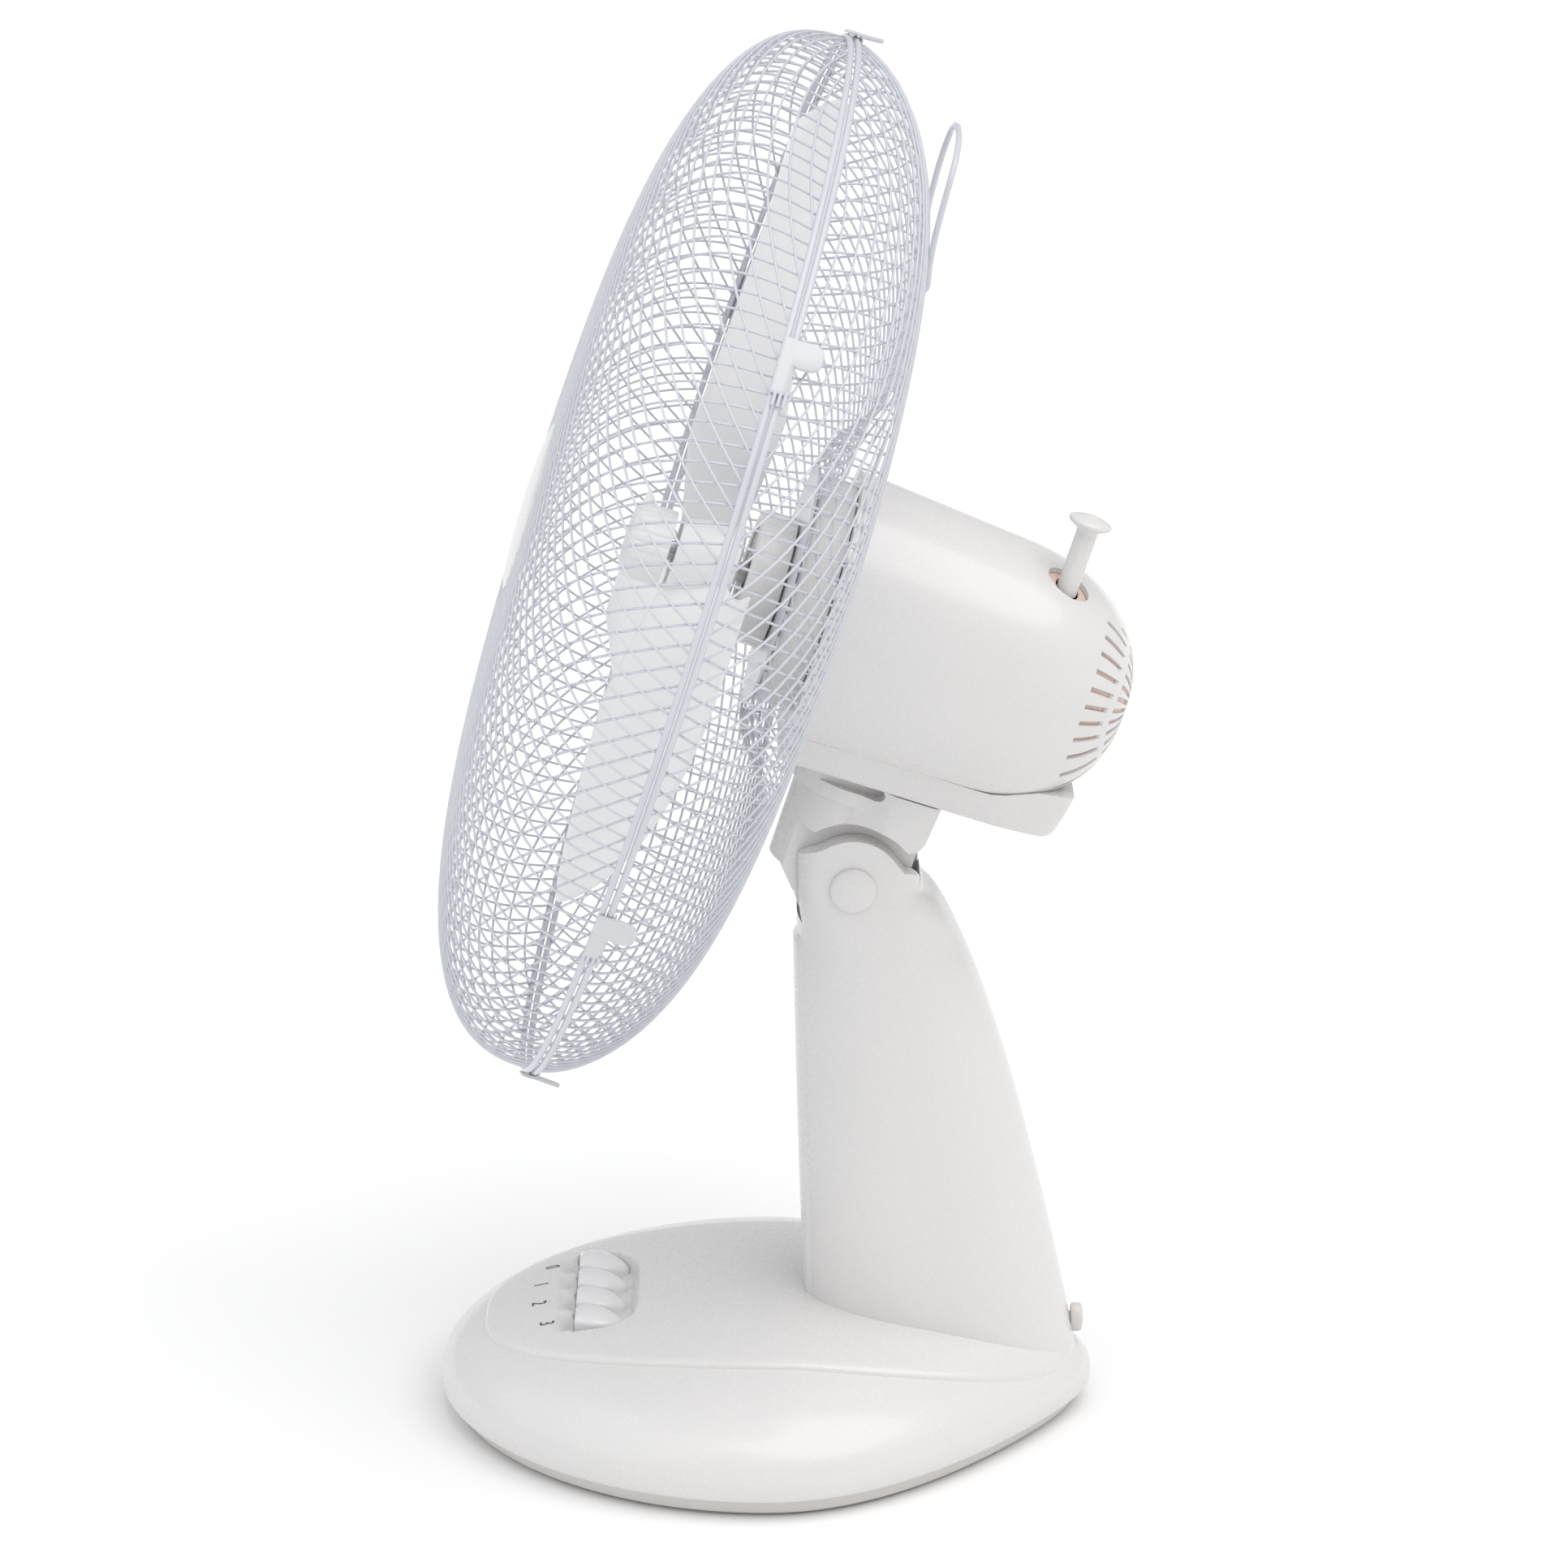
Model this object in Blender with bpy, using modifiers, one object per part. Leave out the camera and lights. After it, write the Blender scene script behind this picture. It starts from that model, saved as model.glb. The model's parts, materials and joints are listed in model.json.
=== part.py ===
"""Oscillating desk fan, 40 cm class, modelled as separate pieces in one frame.

World frame: metres, +Z up, origin on the table under the middle of the fan, front towards -Y.
Head pieces are written in the head's own frame: x to the fan's side, y rearwards along the motor
shaft from the plane between the two guard rings, z up. That frame is tilted back by HEAD_TILT.
"""

import math

import bmesh
import bpy
from mathutils import Matrix, Vector

MM = 0.001
GAP = 0.3 * MM

# ---------------------------------------------------------------- driving dimensions
HEAD_TILT = math.radians(18.0)
HEAD_CENTRE = Vector((0.0, -37.0 * MM, 368.0 * MM))
PIVOT_IN_HEAD = Vector((0.0, 104.4 * MM, -105.5 * MM))
SWIVEL_Y = 92.0 * MM

GUARD_RADIUS = 213.7 * MM
FRONT_BOWL_DEPTH = 63.1 * MM
REAR_BOWL_DEPTH = 57.5 * MM
REAR_BOWL_RECESS = 18.8 * MM
RING_WIRE = 1.3 * MM
RING_OFFSET = 1.6 * MM
GUARD_STEPS = 24
BADGE_RADIUS = 36.0 * MM

BLADE_TIP_RADIUS = 190.0 * MM
BLADE_COUNT = 3
HUB_RADIUS = 17.0 * MM
SHAFT_RADIUS = 4.0 * MM

SHELL_FRONT_Y = 57.0 * MM
SHELL_REAR_Y = 186.6 * MM
SHELL_WALL = 2.0 * MM
SEAM_Z = -46.0 * MM
COVER_FLOOR_Z = -61.0 * MM

KNOB_X = 18.0 * MM
KNOB_Y = 146.0 * MM
CRANK_X = 10.0 * MM
CRANK_Y = 131.0 * MM
CRANK_THROW = 10.0 * MM
LINK_POST_X = 16.0 * MM

BASE_CENTRE_Y = -5.4 * MM
BASE_HALF_LENGTH = 136.0 * MM
BASE_HALF_WIDTH = 118.0 * MM
BASE_EDGE_Z = 15.0 * MM
BASE_RISE = 35.0 * MM
BASE_WALL = 2.5 * MM
BAND_TOP_Z = 9.0 * MM
FOOT_HEIGHT = 1.5 * MM

COLUMN_BOTTOM_Z = 16.0 * MM
COLUMN_TOP_Z = 231.0 * MM
CHEEK_RADIUS = 22.0 * MM
CHEEK_OUTER_X = 26.0 * MM
SLOT_HALF_WIDTH = 15.4 * MM

BUTTON_COUNT = 4
BUTTON_PITCH = 18.4 * MM
BUTTON_WIDTH = 17.4 * MM
BUTTON_FRONT_Y = -84.4 * MM
BUTTON_REAR_Y = -63.5 * MM
BUTTON_TOP_Z = 53.5 * MM

CLIP_ANGLES = (-8.5, 54.0, 116.0, 160.0, 222.0, 286.0)


# ---------------------------------------------------------------- scene, collections, frames
for old in list(bpy.data.objects):
    bpy.data.objects.remove(old, do_unlink=True)

PARTS = bpy.data.collections.new("desk_fan")
CUTTERS = bpy.data.collections.new("cutters")
bpy.context.scene.collection.children.link(PARTS)
bpy.context.scene.collection.children.link(CUTTERS)

TILTED = Matrix.Translation(HEAD_CENTRE) @ Matrix.Rotation(-HEAD_TILT, 4, "X")


class Frame:
    """An empty on a joint's axis. Pieces in it are placed in head or world coordinates."""

    def __init__(self, name, anchor, tilted, parent=None):
        self.anchor = Vector(anchor)
        self.empty = bpy.data.objects.new(name, None)
        PARTS.objects.link(self.empty)
        base = TILTED if tilted else Matrix.Identity(4)
        world = base @ Matrix.Translation(self.anchor)
        if parent is not None:
            self.empty.parent = parent.empty
            world = parent.world.inverted() @ world
            self.world = parent.world @ world
        else:
            self.world = world
        self.empty.matrix_basis = world


BASE = Frame("base_frame", (0, 0, 0), tilted=False)
TILT = Frame("tilt_axis", PIVOT_IN_HEAD, tilted=True, parent=BASE)
SWIVEL = Frame("swivel_axis", (0, SWIVEL_Y, COVER_FLOOR_Z), tilted=True, parent=TILT)
SPIN = Frame("spin_axis", (0, 0, 0), tilted=True, parent=SWIVEL)
WHEEL = Frame("worm_wheel_axis", (KNOB_X, KNOB_Y, 0), tilted=True, parent=SWIVEL)
KNOB = Frame("knob_axis", (KNOB_X, KNOB_Y, 0), tilted=True, parent=SWIVEL)
CRANK = Frame("crank_axis", (CRANK_X, CRANK_Y, 0), tilted=True, parent=SWIVEL)
LINK = Frame("link_axis", (LINK_POST_X, SWIVEL_Y, 0), tilted=True, parent=TILT)


def material(name, colour, roughness, metallic=0.0):
    made = bpy.data.materials.new(name)
    made.use_nodes = True
    shader = made.node_tree.nodes["Principled BSDF"]
    shader.inputs["Base Color"].default_value = (*colour, 1.0)
    shader.inputs["Roughness"].default_value = roughness
    shader.inputs["Metallic"].default_value = metallic
    return made


WHITE = material("white_plastic", (0.86, 0.86, 0.85), 0.32)
WARM_WHITE = material("warm_white_plastic", (0.83, 0.82, 0.81), 0.4)
BLADE_WHITE = material("blade_plastic", (0.82, 0.82, 0.83), 0.35)
WIRE_WHITE = material("coated_wire", (0.78, 0.80, 0.85), 0.35)
STEEL = material("steel", (0.55, 0.55, 0.56), 0.35, 1.0)
IRON = material("cast_iron", (0.18, 0.18, 0.19), 0.7, 0.8)
LAMINATION = material("lamination_steel", (0.35, 0.35, 0.37), 0.5, 1.0)
COPPER = material("enamelled_winding", (0.55, 0.25, 0.10), 0.45, 0.6)
BRASS = material("bearing_bronze", (0.62, 0.47, 0.25), 0.4, 1.0)
NYLON = material("gear_nylon", (0.80, 0.79, 0.74), 0.5)
DIECAST = material("diecast", (0.60, 0.61, 0.62), 0.45, 0.9)
RUBBER = material("rubber", (0.12, 0.12, 0.12), 0.85)
BLACK = material("black_plastic", (0.06, 0.06, 0.06), 0.5)


# ---------------------------------------------------------------- modelling helpers
def add(name, mesh, frame, at=(0, 0, 0), turn=(0, 0, 0), finish=None, cutter=False):
    """Links a mesh as an object of this frame, placed in the frame's coordinates."""
    obj = bpy.data.objects.new(name, mesh)
    (CUTTERS if cutter else PARTS).objects.link(obj)
    obj.parent = frame.empty
    obj.location = Vector(at) - frame.anchor
    obj.rotation_euler = turn
    if cutter:
        obj.hide_render = True
        obj.display_type = "WIRE"
    elif finish is not None:
        mesh.materials.append(finish)
        mesh.shade_smooth()
        mesh.set_sharp_from_angle(angle=math.radians(35))
    return obj


def mesh_of(build):
    """A mesh made by a function that fills a new bmesh."""
    work = bmesh.new()
    build(work)
    bmesh.ops.recalc_face_normals(work, faces=work.faces)
    mesh = bpy.data.meshes.new("shape")
    work.to_mesh(mesh)
    work.free()
    return mesh


def box_mesh(size):
    def build(work):
        bmesh.ops.create_cube(work, size=1.0)
        bmesh.ops.scale(work, vec=Vector(size), verts=work.verts)

    return mesh_of(build)


def rod_mesh(radius, length, sides=20, axis="Z", top_radius=None):
    """A cylinder or cone centred on the origin along an axis."""
    turn = {"X": Matrix.Rotation(math.pi / 2, 3, "Y"), "Y": Matrix.Rotation(-math.pi / 2, 3, "X"),
            "Z": Matrix.Identity(3)}[axis]

    def build(work):
        bmesh.ops.create_cone(work, cap_ends=True, segments=sides, radius1=radius,
                              radius2=radius if top_radius is None else top_radius, depth=length)
        bmesh.ops.rotate(work, matrix=turn, verts=work.verts)

    return mesh_of(build)


def loft_mesh(sections, closed_ends=True):
    """Skins equal-length rings of points in order; closed ends are capped with flat faces."""

    def build(work):
        rings = [[work.verts.new(point) for point in section] for section in sections]
        count = len(rings[0])
        for lower, upper in zip(rings, rings[1:]):
            for i in range(count):
                j = (i + 1) % count
                work.faces.new((lower[i], lower[j], upper[j], upper[i]))
        if closed_ends:
            work.faces.new(reversed(rings[0]))
            work.faces.new(rings[-1])

    return mesh_of(build)


def prism_mesh(outline, low, high, axis="Z"):
    """An outline extruded along an axis: (x, y) along Z, (y, z) along X."""

    def at(a, b, level):
        return {"Z": (a, b, level), "X": (level, a, b)}[axis]

    return loft_mesh([[at(a, b, low) for a, b in outline], [at(a, b, high) for a, b in outline]])


def turned(name, profile, frame, at=(0, 0, 0), turn=(0, 0, 0), sides=24, finish=None):
    """A profile of (radius, height) points, run top to bottom on its outer side, spun about Z.

    A profile that starts and ends off the axis is a ring and is closed on itself.
    """
    mesh = bpy.data.meshes.new(name)
    count = len(profile)
    edges = [(i, i + 1) for i in range(count - 1)]
    if profile[0][0] > 0.0 or profile[-1][0] > 0.0:
        edges.append((count - 1, 0))
    mesh.from_pydata([(radius, 0.0, height) for radius, height in profile], edges, [])
    obj = add(name, mesh, frame, at, turn, finish)
    screw = obj.modifiers.new("spin", "SCREW")
    screw.axis = "Z"
    screw.angle = 2 * math.pi
    screw.steps = sides
    screw.render_steps = sides
    screw.use_merge_vertices = True
    screw.merge_threshold = 0.00001
    screw.use_smooth_shade = True
    return obj


def tube_mesh(points, radius, sides=2, closed=False):
    """A wire along a poly line, taken from a bevelled curve and welded at its caps."""
    curve = bpy.data.curves.new("wire", "CURVE")
    curve.dimensions = "3D"
    curve.bevel_depth = radius
    curve.bevel_resolution = sides
    curve.use_fill_caps = True
    spline = curve.splines.new("POLY")
    spline.points.add(len(points) - 1)
    for point, place in zip(spline.points, points):
        point.co = (*place, 1.0)
    spline.use_cyclic_u = closed
    holder = bpy.data.objects.new("wire", curve)
    CUTTERS.objects.link(holder)
    bpy.context.view_layer.update()
    graph = bpy.context.evaluated_depsgraph_get()
    mesh = bpy.data.meshes.new_from_object(holder.evaluated_get(graph))
    bpy.data.objects.remove(holder, do_unlink=True)
    work = bmesh.new()
    work.from_mesh(mesh)
    bmesh.ops.remove_doubles(work, verts=work.verts, dist=0.00001)
    bmesh.ops.recalc_face_normals(work, faces=work.faces)
    work.to_mesh(mesh)
    work.free()
    return mesh


def boolean(obj, other, operation):
    step = obj.modifiers.new(operation.lower(), "BOOLEAN")
    step.operation = operation
    step.object = other


def cut(obj, cutter):
    boolean(obj, cutter, "DIFFERENCE")


def join(obj, piece):
    boolean(obj, piece, "UNION")


def keep(obj, region):
    boolean(obj, region, "INTERSECT")


def bevel(obj, width, segments=1, angle=40.0):
    step = obj.modifiers.new("soft_edges", "BEVEL")
    step.width = width
    step.segments = segments
    step.limit_method = "ANGLE"
    step.angle_limit = math.radians(angle)
    return obj


def drill(obj, frame, at, radius, length, axis, sides=20):
    """Cuts a round hole through an object."""
    name = f"{obj.name}_hole_{len(CUTTERS.objects)}"
    cut(obj, add(name, rod_mesh(radius, length, sides, axis), frame, at, cutter=True))


def superellipse(half_a, half_b, upper_power, lower_power, count, centre_a=0.0, centre_b=0.0):
    """Points round |a/half_a|^power + |b/half_b|^power = 1, squarer where the power is higher."""
    points = []
    for i in range(count):
        angle = 2 * math.pi * i / count
        c, s = math.cos(angle), math.sin(angle)
        power = upper_power if s >= 0 else lower_power
        a = math.copysign(abs(c) ** (2 / power), c) * half_a
        b = math.copysign(abs(s) ** (2 / power), s) * half_b
        points.append((centre_a + a, centre_b + b))
    return points


def arc(centre_a, centre_b, radius, start, end, count):
    """Points on a circular arc, angles in degrees."""
    angles = [math.radians(start + (end - start) * i / (count - 1)) for i in range(count)]
    return [(centre_a + radius * math.cos(t), centre_b + radius * math.sin(t)) for t in angles]


# ---------------------------------------------------------------- base: egg plan, domed top
def egg_point(angle, scale=1.0, grow=0.0):
    """A point of the base's plan: an ellipse narrowed towards the rear. Angle 0 is the rear."""
    along = math.cos(angle)
    narrow = 0.47 if along > 0 else 0.07
    half_width = (BASE_HALF_WIDTH * (1 - narrow * along * along) + grow) * math.sin(angle)
    return scale * half_width, BASE_CENTRE_Y + scale * (BASE_HALF_LENGTH + grow) * along


def dome_height(rho, y):
    """Height of the base's top at a fraction rho of the way from its centre to its edge."""
    rise = BASE_RISE - 8 * MM * max(0.0, (y - 10 * MM) / (120 * MM))
    return BASE_EDGE_Z + rise * math.sqrt(max(0.0, 1 - rho**3.5))


def egg_ring(scale, z=None, grow=0.0, lift=0.0, count=36):
    ring = []
    for i in range(count):
        x, y = egg_point(-2 * math.pi * i / count, scale, grow)
        ring.append((x, y, lift + (dome_height(scale, y) if z is None else z)))
    return ring


DOME_SCALES = (1.0, 0.985, 0.95, 0.89, 0.8, 0.68, 0.5, 0.25)


def dome_sections(bottom, lift=0.0):
    lower = [egg_ring(0.985, z=bottom), egg_ring(1.0, z=BASE_EDGE_Z - 2.5 * MM, lift=lift)]
    return lower + [egg_ring(scale, lift=lift) for scale in DOME_SCALES]


def dome_solid(name, lift):
    """The base's outer shape as a closed solid, raised by lift."""
    return add(name, loft_mesh(dome_sections(BAND_TOP_Z, lift)), BASE, cutter=True)


def tongue_outline(grow=0.0, count=36):
    """The raised deck's plan: a long oval, fuller towards its front."""
    points = []
    for i in range(count):
        angle = 2 * math.pi * i / count
        along, across = math.cos(angle), math.sin(angle)
        fuller = abs(across) ** 0.8 if along < 0 else abs(across)
        width = (73 * MM + grow) * math.copysign(fuller, across)
        points.append((width, 0.5 * MM + (123.5 * MM + grow) * along))
    return points


def column_section(z, grow=0.0, count=24):
    """The column's outline at a height: an oval that runs back and widens towards the base."""
    t = min(max((COLUMN_TOP_Z - z) / (COLUMN_TOP_Z - 47 * MM), 0.0), 1.1)
    front = 7.0 * MM + 5.0 * MM * t**1.5
    rear = (57.0 + 62.5 * t**0.62) * MM
    width = (25.3 + 7.7 * t) * MM
    half = (rear - front) / 2
    outline = superellipse(width + grow, half + grow, 2.35, 2.35, count, 0.0, (rear + front) / 2)
    return [(x, y, z) for x, y in outline]


COLUMN_LEVELS = [COLUMN_BOTTOM_Z + (COLUMN_TOP_Z - COLUMN_BOTTOM_Z) * f
                 for f in (0.0, 0.16, 0.34, 0.52, 0.68, 0.8, 0.89, 0.96, 1.0)]

column_hole = add("column_hole", loft_mesh([column_section(z * MM, 0.5 * MM) for z in (4, 30, 60)]),
                  BASE, cutter=True)

BUTTON_AREA = [(-37.6 * MM, BUTTON_FRONT_Y - 0.8 * MM), (37.6 * MM, BUTTON_FRONT_Y - 0.8 * MM),
               (37.6 * MM, BUTTON_REAR_Y + 0.8 * MM), (-37.6 * MM, BUTTON_REAR_Y + 0.8 * MM)]
button_hole = add("button_hole", prism_mesh(BUTTON_AREA, 25 * MM, 70 * MM), BASE, cutter=True)

base_shell = add("base_shell", loft_mesh(dome_sections(BAND_TOP_Z), closed_ends=False), BASE,
                 finish=WHITE)
cap = bmesh.new()
cap.from_mesh(base_shell.data)
top_edges = [e for e in cap.edges if e.is_boundary and e.verts[0].co.z > BASE_EDGE_Z]
bmesh.ops.contextual_create(cap, geom=top_edges)
bmesh.ops.recalc_face_normals(cap, faces=cap.faces)
cap.to_mesh(base_shell.data)
cap.free()
wall = base_shell.modifiers.new("wall", "SOLIDIFY")
wall.thickness = BASE_WALL
wall.offset = -1.0
cut(base_shell, column_hole)
cut(base_shell, button_hole)

base_deck = add("base_deck", loft_mesh(dome_sections(BAND_TOP_Z, 2.2 * MM)), BASE, finish=WHITE)
keep(base_deck, add("deck_outline", prism_mesh(tongue_outline(), 12 * MM, 70 * MM), BASE, cutter=True))
cut(base_deck, dome_solid("deck_seat", GAP))
cut(base_deck, column_hole)
cut(base_deck, button_hole)

base_pan = add("base_pan", loft_mesh([egg_ring(0.94, z=FOOT_HEIGHT), egg_ring(0.972, z=BAND_TOP_Z - GAP)]),
               BASE, finish=WARM_WHITE)
cut(base_pan, add("pan_hollow", loft_mesh([egg_ring(0.92, z=FOOT_HEIGHT + 2.5 * MM),
                                          egg_ring(0.945, z=20 * MM)]), BASE, cutter=True))

add("ballast_plate", loft_mesh([egg_ring(0.8, z=4.5 * MM), egg_ring(0.8, z=9.5 * MM)]), BASE, finish=IRON)

FOOT_PLACES = {"front_left": (-62, -88), "front_right": (62, -88),
               "rear_left": (-48, 82), "rear_right": (48, 82)}
for side, (x, y) in FOOT_PLACES.items():
    add(f"rubber_foot_{side}", rod_mesh(9 * MM, FOOT_HEIGHT - 0.1 * MM, 16, top_radius=8 * MM), BASE,
        at=(x * MM, y * MM, (FOOT_HEIGHT - 0.1 * MM) / 2), finish=RUBBER)


# ---------------------------------------------------------------- switch and buttons
def button_outline(width, front, rear):
    """Boat shape: a nearly flat front that curves back to a point."""
    half = width / 2
    length = rear - front
    right = [(half * math.cos(t), front + 0.35 * length + 0.65 * length * math.sin(t))
             for t in (0.0, 0.45, 0.9, 1.25)]
    tip = [(0.0, rear)]
    left = [(-x, y) for x, y in reversed(right)]
    return [(half * 0.82, front), (half, front + 0.1 * length)] + right + tip + left + \
        [(-half, front + 0.1 * length), (-half * 0.82, front)]


for number in range(BUTTON_COUNT):
    centre_x = (number - (BUTTON_COUNT - 1) / 2) * BUTTON_PITCH
    frame = Frame(f"button_axis_{number}", (centre_x, (BUTTON_FRONT_Y + BUTTON_REAR_Y) / 2, BUTTON_TOP_Z),
                  tilted=False, parent=BASE)
    outline = [(centre_x + x, y) for x, y in button_outline(BUTTON_WIDTH, BUTTON_FRONT_Y, BUTTON_REAR_Y)]
    top = [(centre_x + x, y) for x, y in
           button_outline(BUTTON_WIDTH - 3 * MM, BUTTON_FRONT_Y + 1.2 * MM, BUTTON_REAR_Y - 2 * MM)]
    sections = [[(x, y, 40 * MM) for x, y in outline],
                [(x, y, BUTTON_TOP_Z - 2 * MM) for x, y in outline],
                [(x, y, BUTTON_TOP_Z) for x, y in top]]
    button = add(f"button_{number}", loft_mesh(sections), frame, finish=WHITE)
    join(button, add(f"button_stem_{number}", box_mesh((5 * MM, 5 * MM, 8 * MM)), frame,
                     at=(centre_x, BUTTON_FRONT_Y + 9 * MM, 37 * MM), cutter=True))

bevel(add("switch_block", box_mesh((72 * MM, 24 * MM, 17 * MM)), BASE, at=(0, -74 * MM, 19.5 * MM),
          finish=BLACK), 1.0 * MM)
add("run_capacitor", box_mesh((34 * MM, 20 * MM, 12 * MM)), BASE, at=(0, -30 * MM, 17 * MM), finish=BLACK)


# ---------------------------------------------------------------- column
PIVOT = TILTED @ PIVOT_IN_HEAD

column = add("column", loft_mesh([column_section(z) for z in COLUMN_LEVELS]), BASE, finish=WHITE)
join(column, add("cheeks", rod_mesh(CHEEK_RADIUS, 2 * CHEEK_OUTER_X, 32, "X"), BASE, at=PIVOT, cutter=True))
cut(column, add("column_bore", loft_mesh([column_section(z, -2.5 * MM) if z > COLUMN_BOTTOM_Z + MM
                                         else column_section(z - 2 * MM, -2.5 * MM)
                                         for z in COLUMN_LEVELS[:-2]]), BASE, cutter=True))
slot_profile = arc(0, 0, 27 * MM, 180, 360, 15) + [(34 * MM, 8 * MM), (34 * MM, 40 * MM), (-34 * MM, 40 * MM),
                                                   (-34 * MM, 0)]
cut(column, add("tongue_slot", prism_mesh(slot_profile, -SLOT_HALF_WIDTH, SLOT_HALF_WIDTH, "X"), BASE,
                at=PIVOT, cutter=True))
drill(column, BASE, PIVOT, 3.3 * MM, 80 * MM, "X")
LOCK_SCREW_Z = 36.5 * MM
LOCK_SCREW = Vector((0, max(y for x, y, z in column_section(LOCK_SCREW_Z)), LOCK_SCREW_Z))
drill(column, BASE, LOCK_SCREW, 2.9 * MM, 24 * MM, "Y", 16)
FRONT_COVER_TOP_Z = 211 * MM
front_cover_sections = []
for z in [FRONT_COVER_TOP_Z - i * (FRONT_COVER_TOP_Z - 53.5 * MM) / 6 for i in range(7)]:
    y_front = column_section(z)[18][1]
    inner = [(x * MM, y_front + (x / 26.0) ** 2 * 6 * MM - 0.45 * MM, z) for x in (12, 6, 0, -6, -12)]
    outer = [(x * MM, y_front + (x / 26.0) ** 2 * 6 * MM - 1.9 * MM, z) for x in (-12, -6, 0, 6, 12)]
    front_cover_sections.append(inner + outer)
add("column_front_cover", loft_mesh(front_cover_sections), BASE, finish=WHITE)

turned("column_lock_screw",
       [(0.0, 4.6 * MM), (4.6 * MM, 4.6 * MM), (6.0 * MM, 3.4 * MM), (6.0 * MM, 0.4 * MM),
        (2.5 * MM, 0.4 * MM), (2.5 * MM, -9 * MM), (0.0, -9 * MM)],
       BASE, at=LOCK_SCREW + Vector((0, 0.6 * MM, 0)), turn=(-math.pi / 2, 0, 0), sides=16,
       finish=WARM_WHITE)

for side, direction in (("right", 1), ("left", -1)):
    turned(f"pivot_cap_{side}",
           [(0.0, 3.0 * MM), (6.0 * MM, 2.7 * MM), (9.3 * MM, 1.4 * MM), (9.3 * MM, GAP), (0.0, GAP)],
           BASE, at=PIVOT + Vector((direction * CHEEK_OUTER_X, 0, 0)), turn=(0, direction * math.pi / 2, 0),
           finish=WHITE)
add("pivot_bolt", rod_mesh(3 * MM, 2 * CHEEK_OUTER_X - MM, 16, "X"), BASE, at=PIVOT, finish=STEEL)


# ---------------------------------------------------------------- tilt bracket
flange = [(66 * MM, -61.5 * MM), (66 * MM, -86 * MM), (119 * MM, -83 * MM),
          (125.5 * MM, -78 * MM), (127 * MM, -61.5 * MM)]
tilt_bracket = add("tilt_bracket", prism_mesh(flange, -29 * MM, 29 * MM, "X"), TILT, finish=WHITE)
cut(tilt_bracket, add("arch", rod_mesh(27.5 * MM, 80 * MM, 32, "X"), TILT, at=PIVOT_IN_HEAD, cutter=True))
tongue = [(66 * MM, -75 * MM), (66 * MM, -107 * MM), (74 * MM, -107 * MM)]
tongue += arc(PIVOT_IN_HEAD.y, PIVOT_IN_HEAD.z, 24 * MM, 205, 352, 12)
tongue += [(125 * MM, -95 * MM), (125 * MM, -75 * MM)]
join(tilt_bracket, add("tongue", prism_mesh(tongue, -14.9 * MM, 14.9 * MM, "X"), TILT, cutter=True))
plan = [(x, SWIVEL_Y + y) for x, y in arc(0, 0, 22.5 * MM, 180, 360, 17)]
plan += [(29 * MM, SWIVEL_Y + 16 * MM), (29 * MM, SWIVEL_Y + 40 * MM), (-29 * MM, SWIVEL_Y + 40 * MM),
         (-29 * MM, SWIVEL_Y + 16 * MM)]
keep(tilt_bracket, add("bracket_plan", prism_mesh(plan, -140 * MM, -40 * MM), TILT, cutter=True))
join(tilt_bracket, add("turret", rod_mesh(24 * MM, 14 * MM, 32), TILT,
                       at=(0, SWIVEL_Y, -65.6 * MM), cutter=True))
join(tilt_bracket, add("link_post", rod_mesh(2.5 * MM, 8 * MM, 12), TILT,
                       at=(LINK_POST_X, SWIVEL_Y, -56.5 * MM), cutter=True))
for direction in (1, -1):
    cut(tilt_bracket, add(f"side_groove_{direction}", box_mesh((12 * MM, 50 * MM, 5.5 * MM)), TILT,
                          at=(direction * 30 * MM, 79 * MM, -64 * MM), cutter=True))
drill(tilt_bracket, TILT, (0, SWIVEL_Y, -68 * MM), 5.4 * MM, 28 * MM, "Z")
drill(tilt_bracket, TILT, PIVOT_IN_HEAD, 3.3 * MM, 80 * MM, "X")

link_arm = add("link_arm", rod_mesh(6 * MM, 2.5 * MM, 20), LINK,
               at=(LINK_POST_X, SWIVEL_Y, -56.6 * MM), finish=STEEL)
link_end = Vector((CRANK_X + CRANK_THROW, CRANK_Y, -56.6 * MM))
link_start = Vector((LINK_POST_X, SWIVEL_Y, -56.6 * MM))
link_span = link_end - link_start
join(link_arm, add("link_far_eye", rod_mesh(5 * MM, 2.5 * MM, 20), LINK, at=link_end, cutter=True))
join(link_arm, add("link_bar", box_mesh((7 * MM, link_span.length, 2.5 * MM)), LINK,
                   at=(link_start + link_end) / 2, turn=(0, 0, -math.atan2(link_span.x, link_span.y)),
                   cutter=True))
drill(link_arm, LINK, link_start, 2.8 * MM, 10 * MM, "Z", 16)
drill(link_arm, LINK, link_end, 2.4 * MM, 10 * MM, "Z", 16)


# ---------------------------------------------------------------- motor housing
def shell_section(y, grow=0.0, count=28):
    """Upper shell outline at a station: a soft-shouldered oval that closes to a dome at the rear."""
    t = (y - 67 * MM) / (119.6 * MM)
    centre_z = -1 * MM - 4 * MM * t
    back = max(0.0, (y - 130 * MM) / (SHELL_REAR_Y - 130 * MM))
    close = max(0.0, 1 - back**2.3) ** (1 / 2.3)
    half_height = (52.5 - 6.5 * t) * MM * close + grow
    half_width = (50.0 - 4.0 * t) * MM * close + grow
    outline = superellipse(half_width, half_height, 2.3, 4.0, count, 0.0, centre_z)
    return [(x, y, z) for x, z in outline]


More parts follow.
